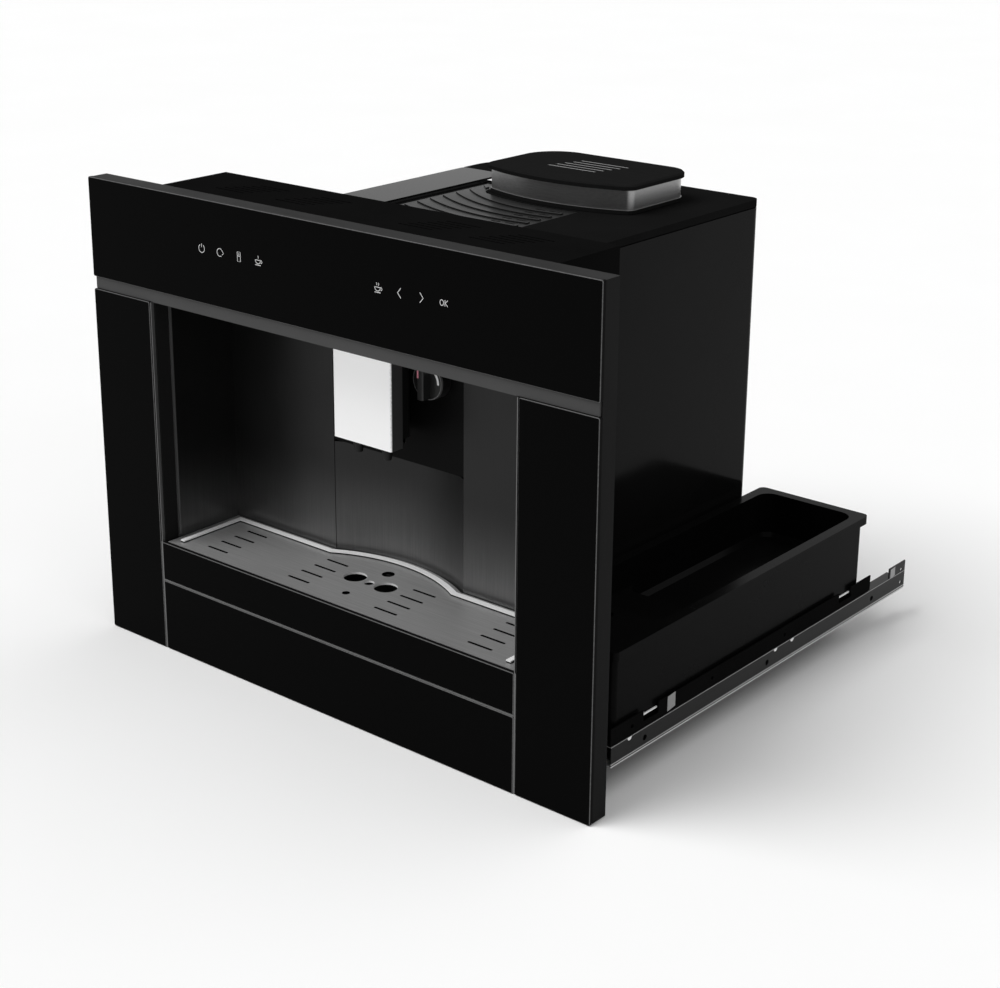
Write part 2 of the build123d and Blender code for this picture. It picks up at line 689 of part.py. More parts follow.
def body_wall():
    """The sheet wall round the body, open at the front."""
    height = WALL_TOP - BODY_FOOT
    wall = Pos(0, 0, BODY_FOOT) * (extrude(body_outline(), height) - extrude(body_outline(SHEET), height))
    return wall - block(SHEET - BODY_HALF, BODY_HALF - SHEET, 0, BODY_FRONT + SHEET * 2, 0, DECK_TOP)


def side_panel_right(wall):
    """Right side of the wall, with its rear corner."""
    return wall & block(BODY_HALF - CORNER_RIGHT, BODY_HALF + OVER, 0, DEPTH, 0, DECK_TOP)


def side_panel_left(wall):
    """Left panel with the round rear corner; the tank fills its upper window."""
    x0 = -BODY_HALF - OVER
    panel = wall & block(x0, CORNER_LEFT - BODY_HALF, 0, DEPTH, 0, DECK_TOP)
    gap = CLEAR * 2
    return panel - block(x0, 20 - BODY_HALF, 0, TANK_BACK + gap, TANK_FOOT - gap, DECK_TOP)


def rear_panel(wall):
    """Back sheet with rows of vent slots and the inlet's window."""
    left = -BODY_HALF + CORNER_LEFT + CLEAR
    right = BODY_HALF - CORNER_RIGHT - CLEAR
    y0 = BODY_BACK - 5
    panel = wall & block(left, right, y0, DEPTH, 0, DECK_TOP)
    for column in range(VENT_COLUMNS):
        for row in range(VENT_ROWS):
            place = (-60 + 60 * column, BODY_BACK, 300 + 14 * row)
            panel -= Pos(*place) * Rot(90, 0, 0) * slot(VENT_LENGTH, VENT_WIDTH, SHEET * 2)
    return panel - block(INLET_X - 14, INLET_X + 14, y0, DEPTH, INLET_Z - 10.5, INLET_Z + 10.5)


def base_plate():
    """Floor sheet with turned-up edges and vent slots."""
    edge = SHEET + CLEAR
    floor = extrude(body_outline(edge), BASE_EDGE)
    floor -= Pos(0, 0, SHEET) * extrude(body_outline(edge + SHEET), BASE_EDGE)
    floor = Pos(0, 0, BODY_FOOT) * floor
    for row in range(4):
        floor -= Pos(60, 250 + 24 * row, BODY_FOOT) * slot(90, 5, SHEET * 2)
    return floor


# ---- deck, cup shelf and bean lid ----
def hopper_outline(grow=0.0):
    """The bean lid in plan: bowed at the front, with wide rounded corners at the back."""
    x0 = HOPPER_LEFT - grow
    x1 = HOPPER_RIGHT + grow
    front = HOPPER_FRONT - grow
    back = HOPPER_BACK + grow
    bow = ThreePointArc((x1, front), ((x0 + x1) / 2, front - HOPPER_BULGE), (x0, front))
    rest = Polyline((x0, front), (x0, back), (x1, back), (x1, front))
    outline = make_face([bow, rest])
    for x, y, radius in ((x0, front, 10), (x1, front, 8), (x0, back, 36), (x1, back, 22)):
        corner = outline.vertices().sort_by_distance((x, y, 0))[0]
        outline = fillet(corner, radius + grow)
    return outline


def shelf_face(gap=0.0):
    """The cup shelf in plan: in front of the bean lid, and on its left."""
    left = SHELF_LEFT - gap
    right = SHELF_RIGHT + gap
    front = SHELF_FRONT - gap
    back = SHELF_BACK + gap
    plate = plan(((left, front), (right, front), (right, back), (left, back)))
    return plate - hopper_outline(SHELF_MARGIN - gap)


def shelf_rib(radius):
    """Bowed strip in plan, about a point behind the bean lid."""
    ring = Circle(radius + RIB_WIDTH / 2) - Circle(radius - RIB_WIDTH / 2)
    return Pos(GRINDER_X, RIB_CREST + RIB_FIRST) * ring


def cup_shelf():
    """Steel plate with bowed ribs in front of the bean lid, and short slots between them."""
    top = DECK_TOP - SHELF_SINK
    plate = Pos(0, 0, top - SHELF_SHEET) * extrude(shelf_face(), SHELF_SHEET)
    field = Pos(0, 0, top - SHELF_SHEET) * extrude(shelf_face(-SHELF_MARGIN), SHELF_SHEET + RIB_HEIGHT)
    for index in range(RIB_COUNT):
        rib = Pos(0, 0, top - 0.2) * extrude(shelf_rib(RIB_FIRST + RIB_PITCH * index), RIB_HEIGHT)
        plate += rib & field
    for index in range(RIB_COUNT - 1):
        radius = RIB_FIRST + RIB_PITCH * (index + 0.5)
        for x in (SHELF_RIGHT - 18, SHELF_RIGHT - 34):
            run = x - GRINDER_X
            y = RIB_CREST + RIB_FIRST - sqrt(radius ** 2 - run ** 2)
            turn = Rot(0, 0, degrees(asin(run / radius)))
            plate -= Pos(x, y, top) * turn * slot(SHELF_SLOT, 2.4, SHELF_SHEET * 2)
    return plate


def deck():
    """Top moulding: recess for the cup shelf, hole for the hopper, notch for the tank."""
    foot = DECK_TOP - DECK_HEIGHT
    inset = SHEET + CLEAR
    shell = Pos(0, 0, DECK_TOP - DECK_EDGE) * extrude(body_outline(), DECK_EDGE)
    shell += Pos(0, 0, foot) * extrude(body_outline(inset), DECK_HEIGHT - DECK_EDGE)
    shell -= Pos(0, 0, foot) * extrude(body_outline(inset + DECK_SHEET), DECK_HEIGHT - DECK_PLATE)
    shell -= Pos(0, 0, DECK_TOP - SHELF_SHEET - SHELF_SINK) * extrude(shelf_face(CLEAR), DECK_EDGE)
    shell -= Pos(GRINDER_X, GRINDER_Y, DECK_TOP) * Box(MOUTH_WIDTH + 1, MOUTH_DEPTH + 1, DECK_HEIGHT * 3)
    notch_back = TANK_BACK + CLEAR * 2
    return shell - block(
        -BODY_HALF - OVER, HINGE_X + NOTCH_REACH, 0, notch_back, foot - OVER, DECK_TOP + OVER
    )


def hopper_lid():
    """Two-tier lid: thin foot, bright band and an overhanging cap."""
    band_foot = DECK_TOP + LID_FOOT
    cap_foot = FRONT_HEIGHT - CAP_HEIGHT
    lid = Pos(0, 0, DECK_TOP + CLEAR) * extrude(hopper_outline(1), LID_FOOT - CLEAR)
    lid += Pos(0, 0, band_foot) * extrude(hopper_outline(), cap_foot - band_foot)
    cap = Pos(0, 0, cap_foot) * extrude(hopper_outline(CAP_OVERHANG), CAP_HEIGHT)
    lid += chamfer(cap.faces().sort_by(Axis.Z)[-1].edges(), 1.5)
    lid -= Pos(0, 0, DECK_TOP) * extrude(hopper_outline(-HOPPER_WALL), cap_foot - DECK_TOP)
    for row in range(CAP_SLOTS):
        place = (GRINDER_X - 6 + 3 * row, GRINDER_Y - 20 + 9 * row, FRONT_HEIGHT)
        lid -= Pos(*place) * slot(CAP_SLOT_LENGTH, 2.6, SHEET)
    return lid


# ---- bean hopper and grinder ----
def hopper_section(width, depth, z):
    """Level rectangle about the grinder's axis."""
    return Pos(GRINDER_X, GRINDER_Y, z) * Rectangle(width, depth)


def hopper_body(shrink, over):
    """The funnel's solid shape from rim to neck; the hollow one reaches past both ends."""
    width = MOUTH_WIDTH - shrink
    depth = MOUTH_DEPTH - shrink
    throat = THROAT - shrink
    shoulder = DECK_TOP - MOUTH_DROP
    rim = DECK_TOP + RIM_RISE
    body = loft(
        [hopper_section(throat, throat, THROAT_Z), hopper_section(width, depth, shoulder)], ruled=True
    )
    body += extrude(hopper_section(width, depth, shoulder), rim - shoulder + over)
    return body + extrude(hopper_section(throat, throat, GRINDER_TOP - over), THROAT_NECK + over)


def bean_hopper():
    """Funnel for the beans: open mouth, sloping walls and a square throat over the burrs."""
    return hopper_body(0, 0) - hopper_body(HOPPER_WALL * 2, OVER)


def grinder_housing():
    """Pot round the burrs, with a hole in its lid for the beans and one in its floor for the shaft."""
    foot = GRINDER_TOP - GRINDER_HEIGHT
    pot = rod_z(GRINDER_X, GRINDER_Y, foot, GRINDER_TOP, GRINDER_RADIUS)
    pot -= rod_z(GRINDER_X, GRINDER_Y, foot + 5, GRINDER_TOP - POT_WALL, GRINDER_RADIUS - POT_WALL)
    pot -= rod_z(GRINDER_X, GRINDER_Y, GRINDER_TOP - 5, GRINDER_TOP + OVER, BURR_BORE - 4)
    return pot - rod_z(GRINDER_X, GRINDER_Y, foot - OVER, foot + 6, 5)


def ring_burr():
    """Fixed outer burr, notched inside."""
    top = GRINDER_TOP - 6
    foot = top - BURR_HEIGHT
    ring = rod_z(GRINDER_X, GRINDER_Y, foot, top, GRINDER_RADIUS - POT_WALL - CLEAR)
    ring -= rod_z(GRINDER_X, GRINDER_Y, foot - OVER, top + OVER, BURR_BORE)
    notch = Pos(BURR_BORE, 0, 0) * Rot(0, 0, 25) * Box(5, 3, BURR_HEIGHT + 2)
    turns = [Rot(0, 0, 360 / RING_NOTCHES * index) * notch for index in range(RING_NOTCHES)]
    return ring - [Pos(GRINDER_X, GRINDER_Y, top - BURR_HEIGHT / 2) * turn for turn in turns]


def grinder_burr():
    """Turning cone burr with slanted teeth, on the motor's shaft."""
    foot = GRINDER_TOP - 6 - BURR_HEIGHT
    cone = Cone(BURR_RADIUS, BURR_RADIUS * 0.45, BURR_HEIGHT)
    groove = Pos(BURR_RADIUS * 0.95, 0, 0) * Rot(0, 0, 30) * Box(9, 2.6, BURR_HEIGHT + 2)
    for index in range(BURR_TEETH):
        cone -= Rot(0, 0, 360 / BURR_TEETH * index) * groove
    burr = Pos(GRINDER_X, GRINDER_Y, foot + BURR_HEIGHT / 2) * cone
    shaft_foot = GRINDER_TOP - GRINDER_HEIGHT - 8
    return burr + rod_z(GRINDER_X, GRINDER_Y, shaft_foot, foot + 1, 4)


def grinder_motor():
    """Motor can under the pot, with a recessed end for the shaft."""
    top = GRINDER_TOP - GRINDER_HEIGHT - CLEAR / 2
    can = rod_z(GRINDER_X, GRINDER_Y, top - MOTOR_HEIGHT, top, MOTOR_RADIUS)
    can = chamfer(can.edges().sort_by(Axis.Z)[0], 4)
    return can - rod_z(GRINDER_X, GRINDER_Y, top - 12, top + OVER, 5)


def grounds_chute():
    """Sloping duct from the burrs to the window in the brew chamber."""
    y0 = GRINDER_Y - GRINDER_RADIUS - CLEAR
    y1 = BREW_Y + CHAMBER_RADIUS + CLEAR
    outside = plan(((y0, CHUTE_Z + 14), (y0, CHUTE_Z - 8), (y1, CHUTE_Z - 20), (y1, CHUTE_Z - 2)))
    inside = plan((
        (y0 + 1, CHUTE_Z + 11), (y0 + 1, CHUTE_Z - 5), (y1 - 1, CHUTE_Z - 17), (y1 - 1, CHUTE_Z - 5),
    ))
    duct = Pos(CHUTE_LEFT, 0, 0) * (Plane.YZ * extrude(outside, CHUTE_WIDTH))
    bore_width = CHUTE_WIDTH - CHUTE_WALL * 2
    bore = Pos(CHUTE_LEFT + CHUTE_WALL, 0, 0) * (Plane.YZ * extrude(inside, bore_width))
    return duct - bore


# ---- brew unit ----
def brew_frame():
    """Two cheeks joined by a floor and a bridge, bored for the piston rod."""
    half = BREW_HALF
    y0 = BREW_Y - BREW_REACH
    y1 = BREW_Y + BREW_REACH
    cheek = block(half - 4, half, y0, y1, BREW_FOOT, BREW_TOP)
    cheek -= block(half - 6, half + 2, y0 + 14, y1 - 14, CHAMBER_TOP + 12, BREW_TOP - 24)
    frame = cheek + mirror(cheek, about=Plane.YZ)
    frame += block(-half, half, y0, y1, BREW_FOOT, BREW_FOOT + 6)
    frame += block(-half, half, y0 + 10, y1 - 10, BREW_TOP - 14, BREW_TOP)
    frame -= rod_z(0, BREW_Y, BREW_TOP - 20, BREW_TOP + OVER, PISTON_ROD + CLEAR)
    return frame - block(-24, 24, BREW_Y - 24, BREW_Y + 24, BREW_FOOT - OVER, BREW_FOOT + 7)


def brew_chamber():
    """Cylinder that takes the ground coffee, with a window for the chute and two side arms."""
    chamber = rod_z(0, BREW_Y, CHAMBER_FOOT, CHAMBER_TOP, CHAMBER_RADIUS)
    arm = BREW_HALF - 4
    chamber += block(-arm, arm, BREW_Y - 12, BREW_Y + 12, CHAMBER_FOOT + 8, CHAMBER_FOOT + 20)
    chamber -= rod_z(0, BREW_Y, CHAMBER_FOOT + 5, CHAMBER_TOP + OVER, CHAMBER_BORE)
    x0 = CHUTE_LEFT + CHUTE_WALL
    x1 = CHUTE_LEFT + CHUTE_WIDTH - CHUTE_WALL
    return chamber - block(x0, x1, BREW_Y, BREW_Y + CHAMBER_RADIUS + OVER, CHUTE_Z - 17, CHUTE_Z - 5)


def brew_piston():
    """Piston with a seal groove on a rod through the bridge."""
    foot = CHAMBER_TOP + PISTON_GAP
    top = foot + PISTON_HEIGHT
    piston = rod_z(0, BREW_Y, foot, top, CHAMBER_BORE - CLEAR)
    seal = rod_z(0, BREW_Y, foot + 5, foot + 8, CHAMBER_BORE)
    piston -= seal - rod_z(0, BREW_Y, foot, top, CHAMBER_BORE - 2)
    return piston + rod_z(0, BREW_Y, top, BREW_TOP + PISTON_ROD, PISTON_ROD)


# ---- boiler, pump, boards and hoses ----
def boiler():
    """Upright boiler: two domed halves bolted at a flange, on a leg."""
    body = rod_z(BOILER_X, BOILER_Y, BOILER_Z, BOILER_Z + BOILER_HEIGHT, BOILER_RADIUS)
    body = chamfer(body.edges().filter_by(GeomType.CIRCLE), 7)
    middle = BOILER_Z + BOILER_HEIGHT / 2
    body += rod_z(BOILER_X, BOILER_Y, middle - 4, middle + 4, FLANGE_RADIUS)
    for index in range(BOLT_COUNT):
        angle = 2 * pi / BOLT_COUNT * index
        place = (BOILER_X + BOLT_CIRCLE * cos(angle), BOILER_Y + BOLT_CIRCLE * sin(angle), middle + 4)
        body += Pos(*place) * hexagon(3, 3)
    top = BOILER_Z + BOILER_HEIGHT
    body += rod_z(BOILER_X, BOILER_Y, top - 1, top + 12, 6)
    return body + rod_z(BOILER_X, BOILER_Y, BOILER_Z - BOILER_LEG, BOILER_Z + 1, 12)


def pump():
    """Vibration pump: square coil frame on a round barrel with two necks."""
    barrel = rod_y(PUMP_X, PUMP_Z, PUMP_FRONT, PUMP_BACK, 10)
    front = PUMP_FRONT + COIL_SETBACK
    back = front + COIL_LENGTH
    half = PUMP_HALF
    barrel += block(PUMP_X - half, PUMP_X + half, front, back, PUMP_Z - half, PUMP_Z + half)
    return barrel + rod_y(PUMP_X, PUMP_Z, PUMP_FRONT - PUMP_NECK, PUMP_BACK + PUMP_NECK, 4)


def pump_cradle():
    """Bent bracket that holds the pump on the base."""
    saddle = PUMP_Z - PUMP_HALF
    half = PUMP_HALF + 3
    front = PUMP_FRONT + COIL_SETBACK + CRADLE_INSET
    back = front + COIL_LENGTH - CRADLE_INSET * 2
    cradle = block(PUMP_X - half, PUMP_X + half, front, back, BODY_FOOT + SHEET, saddle)
    inner = half - 2
    return cradle - block(PUMP_X - inner, PUMP_X + inner, front - 1, back + 1, BODY_FOOT, saddle - 2)


def hose(points):
    """Tube on straight runs with mitred bends."""
    path = Polyline(*points)
    start = Plane(origin=path @ 0, z_dir=path % 0)
    return sweep(start * RegularPolygon(HOSE, HOSE_SIDES), path, transition=Transition.RIGHT)


def suction_hose():
    """Tank coupling down to the pump's inlet."""
    end = PUMP_FRONT - PUMP_NECK
    return hose([
        (VALVE_X, VALVE_Y, TANK_FOOT - DOCK_DROP - HOSE_DRIP), (VALVE_X, VALVE_Y, PUMP_Z + 50),
        (PUMP_X, HOSE_BEND_Y, PUMP_Z + HOSE_RISE), (PUMP_X, HOSE_BEND_Y, PUMP_Z), (PUMP_X, end, PUMP_Z),
    ])


def pressure_hose():
    """Pump's outlet up to the boiler's foot."""
    start = PUMP_BACK + PUMP_NECK
    return hose([
        (PUMP_X, start, PUMP_Z), (PUMP_X, start + HOSE_STUB, PUMP_Z),
        (PUMP_X + HOSE_RISE, start + HOSE_STUB, HOSE_TURN), (BOILER_X, PUMP_BACK, HOSE_LEVEL),
        (BOILER_X, BOILER_Y + HOSE_TURN, HOSE_LEVEL), (BOILER_X, BOILER_Y, HOSE_TURN),
        (BOILER_X, BOILER_Y, BOILER_Z - BOILER_LEG),
    ])


def power_board():
    """Power electronics on the right wall: transformer, relay, heat sink and capacitors."""
    back = BODY_HALF - SHEET - 6
    face = back - BOARD_SHEET
    board = block(face, back, BOARD_FRONT, BOARD_BACK, BOARD_FOOT, BOARD_TOP)
    board += block(back - 30, face, BOARD_FRONT + 12, BOARD_FRONT + 50, BOARD_TOP - 40, BOARD_TOP - 8)
    board += block(back - 14, face, BOARD_BACK - 58, BOARD_BACK - 20, BOARD_TOP - 34, BOARD_TOP - 14)
    board += block(back - 20, face, BOARD_FRONT + 16, BOARD_FRONT + 36, BOARD_FOOT + 12, BOARD_FOOT + 50)
    for y in (50, 66, 82):
        board += rod_x(BOARD_FRONT + y, BOARD_FOOT + 24, back - 22, face, 6)
    for y in (BOARD_FRONT + 4, BOARD_BACK - 4):
        for z in (BOARD_FOOT + 4, BOARD_TOP - 4):
            board += Pos(back + 3, y, z) * Box(6, 5, 5)
    return board


def power_inlet():
    """Three-pin mains inlet in the back sheet."""
    y1 = BODY_BACK
    body = block(INLET_X - 13.6, INLET_X + 13.6, y1 - 24, y1, INLET_Z - 10, INLET_Z + 10)
    body += block(INLET_X - 24, INLET_X + 24, y1, y1 + 2, INLET_Z - 14, INLET_Z + 14)
    body -= block(INLET_X - 12, INLET_X + 12, y1 - 16, y1 + 3, INLET_Z - 8.4, INLET_Z + 8.4)
    for x in (-7, 0, 7):
        body += Pos(INLET_X + x, y1 - 9.5, INLET_Z) * Box(2, 15, 4)
    return body


# ---- water tank ----
def water_tank():
    """Open tank whose outer wall is flush with the machine's side."""
    shell = block(TANK_LEFT, TANK_RIGHT, TANK_FRONT, TANK_BACK, TANK_FOOT, TANK_TOP)
    shell = fillet(shell.edges().filter_by(Axis.Z), TANK_CORNER)
    w = TANK_WALL
    shell -= block(
        TANK_LEFT + w, TANK_RIGHT - w, TANK_FRONT + w, TANK_BACK - w, TANK_FOOT + w, TANK_TOP + OVER
    )
    return shell - rod_z(VALVE_X, VALVE_Y, TANK_FOOT - OVER, TANK_FOOT + w + OVER, VALVE_RADIUS + 0.2)


def tank_rod():
    """Hinge rod on the tank's inner rim, on two posts beside each clip."""
    reach = CLIP_WIDTH / 2 + POST
    rod = rod_y(HINGE_X, HINGE_Z, CLIP_PLACES[0] - reach - POST, CLIP_PLACES[1] + reach + POST, HINGE_ROD)
    for y in CLIP_PLACES:
        for side in (-1, 1):
            middle = y + side * reach
            foot = HINGE_Z - POST * 4
            rod += block(TANK_RIGHT, HINGE_X + 2, middle - POST / 2, middle + POST / 2, foot, HINGE_Z)
    return rod


def tank_valve():
    """Spring valve in the tank's floor."""
    valve = rod_z(VALVE_X, VALVE_Y, TANK_FOOT - 4, TANK_FOOT + TANK_WALL, VALVE_RADIUS)
    valve += rod_z(VALVE_X, VALVE_Y, TANK_FOOT + TANK_WALL, TANK_FOOT + TANK_WALL + 3, VALVE_RADIUS + 4)
    return valve - rod_z(VALVE_X, VALVE_Y, TANK_FOOT - 5, TANK_FOOT + 1, 3.5)


def tank_lid():
    """Flat lid with a turned-down edge."""
    y0 = TANK_FRONT - 1
    y1 = TANK_BACK + CLEAR
    lid = block(TANK_LEFT, LID_INNER, y0, y1, DECK_TOP - LID_THICK, DECK_TOP)
    lid = fillet(lid.edges().filter_by(Axis.Z), 4)
    edge = LID_EDGE
    return lid - block(
        TANK_LEFT + edge, LID_INNER - edge, y0 + edge, y1 - edge, TANK_TOP, DECK_TOP - LID_THICK / 2
    )


def lid_clips():
    """Bright spring rings that hold the lid on the hinge rod."""
    clips = []
    top = HINGE_Z + CLIP_RADIUS
    for y in CLIP_PLACES:
        y0 = y - CLIP_WIDTH / 2
        y1 = y + CLIP_WIDTH / 2
        clip = rod_y(HINGE_X, HINGE_Z, y0, y1, CLIP_RADIUS)
        clip += block(LID_INNER, HINGE_X, y0, y1, top - CLIP_ARM, top)
        clips.append(clip - rod_y(HINGE_X, HINGE_Z, y0 - OVER, y1 + OVER, HINGE_ROD + CLEAR))
    return Compound(clips)


def tank_dock():
    """Shelf under the tank with the water coupling and its spigot."""
    top = TANK_FOOT - DOCK_DROP
    back = TANK_RIGHT + 8
    dock = block(TANK_LEFT + SHEET + CLEAR, back, TANK_FRONT, TANK_BACK, top - 3, top)
    dock += block(back - 3, back, TANK_FRONT, TANK_BACK, top, TANK_TOP - 30)
    for y in (TANK_FRONT + 12, TANK_BACK - 12):
        dock += block(TANK_LEFT + 12, TANK_RIGHT - 12, y - 6, y + 6, top, TANK_FOOT)
    dock += rod_z(VALVE_X, VALVE_Y, top - 22, top, 8)
    dock += rod_z(VALVE_X, VALVE_Y, top, TANK_FOOT - 1, 2.6)
    return dock - rod_z(VALVE_X, VALVE_Y, top - 23, TANK_FOOT, 1.4)


# ---- rails, carriers and side trays ----
def channel(x_web, x_open, z0, z1, y0, y1):
    """C section along the depth: the web stands at x_web and the flanges reach to x_open."""
    step = RAIL_SHEET if x_open > x_web else -RAIL_SHEET
    solid = block(x_web, x_open, y0, y1, z0, z1)
    return solid - block(x_web + step, x_open + step, y0 - 1, y1 + 1, z0 + RAIL_SHEET, z1 - RAIL_SHEET)


def rail_cabinet():
    """Cabinet member with its screw holes and the stop tab at the rear end."""
    z0 = RAIL_FOOT
    y1 = RAIL_FRONT + RAIL_LENGTH
    end = y1 + TAB_LENGTH
    web = RAIL_OUT - RAIL_SHEET
    rail = channel(RAIL_OUT, RAIL_OUT - RAIL_DEPTH, z0, z0 + RAIL_HEIGHT, RAIL_FRONT, y1)
    rail += block(web, RAIL_OUT, y1 - 14, end, z0, z0 + TAB_HEIGHT)
    for rise in (8, 22):
        rail -= rod_x(end - 7, z0 + rise, web - OVER, RAIL_OUT + OVER, TAB_HOLE)
    for index in range(MOUNT_COUNT):
        y = MOUNT_FIRST + MOUNT_PITCH * index
        rail -= rod_x(y, z0 + RAIL_HEIGHT / 2, web - OVER, RAIL_OUT + OVER, MOUNT_HOLE)
    return rail


def rail_middle():
    """Middle member between the two ball rows."""
    x_web = RAIL_OUT - RAIL_SHEET - 1.8
    z0 = RAIL_FOOT + RAIL_STEP
    z1 = RAIL_FOOT + RAIL_HEIGHT - RAIL_STEP
    return channel(x_web, RAIL_OUT - RAIL_DEPTH - 0.5, z0, z1, RAIL_FRONT + 6, RAIL_FRONT + RAIL_LENGTH - 20)


def ball_cages():
    """Ball retainer strips on the middle member's flanges."""
    y0 = RAIL_FRONT + 40
    y1 = RAIL_FRONT + RAIL_LENGTH - 60
    top = RAIL_FOOT + RAIL_HEIGHT
    x0 = RAIL_OUT - RAIL_DEPTH + 1
    x1 = RAIL_OUT - RAIL_SHEET - 3
    inner = RAIL_STEP + RAIL_SHEET
    levels = (RAIL_FOOT + RAIL_STEP - CAGE, RAIL_FOOT + inner, top - RAIL_STEP, top - inner - CAGE)
    return Compound([block(x0, x1, y0, y1, z, z + CAGE) for z in levels])


def rail_inner():
    """Machine member, screwed to the carrier."""
    z0 = RAIL_FOOT + RAIL_STEP * 2
    z1 = RAIL_FOOT + RAIL_HEIGHT - RAIL_STEP * 2
    x_web = RAIL_OUT - RAIL_DEPTH - 2
    return channel(x_web, RAIL_OUT - RAIL_SHEET - 4.6, z0, z1, RAIL_FRONT, RAIL_FRONT + RAIL_LENGTH - 30)


def carrier():
    """Folded side sheet: shelf for the tray, upturned edges and a flange down to the rail."""
    z0 = CARRIER_Z
    z1 = z0 + RAIL_SHEET
    x_out = RAIL_OUT - 0.6
    y0 = RAIL_FRONT
    y1 = CARRIER_BACK
    step_x = BOX_HALF + TRAY_GAP
    step_y = BOX_BACK + TRAY_GAP
    sheet = block(BODY_HALF, x_out, step_y, y1, z0, z1) + block(step_x, x_out, y0, y1, z0, z1)
    sheet += block(x_out - RAIL_SHEET, x_out, y0, y1, z0, z0 + CARRIER_LIP)
    edge_back = BODY_BACK - CORNER_RIGHT
    sheet += block(BODY_HALF, BODY_HALF + RAIL_SHEET, step_y, edge_back, z0, z0 + CARRIER_EDGE)
    x_rail = RAIL_OUT - RAIL_DEPTH - 2
    sheet += block(x_rail - RAIL_SHEET, x_rail, y0, RAIL_FRONT + RAIL_LENGTH - 52, RAIL_FOOT + 6, z0)
    for y in (y0 + 46, y1 - 60):
        sheet -= block(x_out - 3, x_out + 3, y, y + 22, z0 + 5, z0 + CARRIER_LIP + OVER)
    for index in range(4):
        sheet -= rod_x(y0 + 30 + 120 * index, z0 + 7, x_out - 3, x_out + 3, 1.8)
    return sheet


def tray_outline(shrink):
    """Tray in plan: it wraps the front box's corner."""
    x0 = TRAY_INSIDE + shrink
    x1 = RAIL_OUT - shrink
    step_x = BOX_HALF + TRAY_GAP + shrink
    step_y = BOX_BACK + TRAY_GAP * 2 + shrink
    y0 = TRAY_FRONT + shrink
    y1 = TRAY_BACK - shrink
    return plan(((x0, step_y), (step_x, step_y), (step_x, y0), (x1, y0), (x1, y1), (x0, y1)))


def rounded_prism(face, radius, z0, z1):
    """Upright prism with rounded upright edges."""
    solid = Pos(0, 0, z0) * extrude(face, z1 - z0)
    return fillet(solid.edges().filter_by(Axis.Z), radius)


def tray_pocket(y0, floor):
    """Cutter for a rounded pocket from y0 to the tray's back, down to the floor."""
    x0 = TRAY_INSIDE + TRAY_MARGIN
    x1 = RAIL_OUT - TRAY_MARGIN
    pocket = block(x0, x1, y0, TRAY_BACK - TRAY_MARGIN, floor, TRAY_TOP + OVER)
    return fillet(pocket.edges().filter_by(Axis.Z), TRAY_CORNER)


def side_tray():
    """Accessory tray: lipped rim, a shallow ledge, a basin, and a skirt that is open below."""
    foot = CARRIER_Z + RAIL_SHEET + CLEAR / 2
    lip_foot = TRAY_TOP - TRAY_LIP_HEIGHT
    tray = rounded_prism(tray_outline(TRAY_LIP), TRAY_ROUND, foot, TRAY_TOP - 2)
    rim = rounded_prism(tray_outline(0), TRAY_ROUND, lip_foot, TRAY_TOP)
    tray += rim - rounded_prism(tray_outline(2), TRAY_ROUND - 1, lip_foot, TRAY_TOP - 2)
    tray -= tray_pocket(BOX_BACK + TRAY_GAP * 2 + TRAY_MARGIN, TRAY_LEDGE)
    basin = tray_pocket(TRAY_STEP_Y, TRAY_FLOOR)
    tray -= chamfer(basin.faces().sort_by(Axis.Z)[0].edges(), 4)
    skirt = tray_outline(TRAY_LIP + TRAY_WALL)
    return tray - Pos(0, 0, foot) * extrude(skirt, TRAY_FLOOR - TRAY_WALL - foot)


# ---- fasteners ----
def panel_screws():
    """Screw heads on the back sheet, and on the carriers' edges beside the body."""
    head = hexagon(SCREW_SIZE, SCREW_HEAD)
    screws = [Pos(x, BODY_BACK, z) * Rot(-90, 0, 0) * head for x, z in REAR_SCREWS]
    for y in SIDE_SCREWS:
        screw = Pos(BODY_HALF + RAIL_SHEET, y, CARRIER_Z + 16) * Rot(0, 90, 0) * head
        screws.append(screw)
        screws.append(mirror(screw, about=Plane.YZ))
    return Compound(screws)


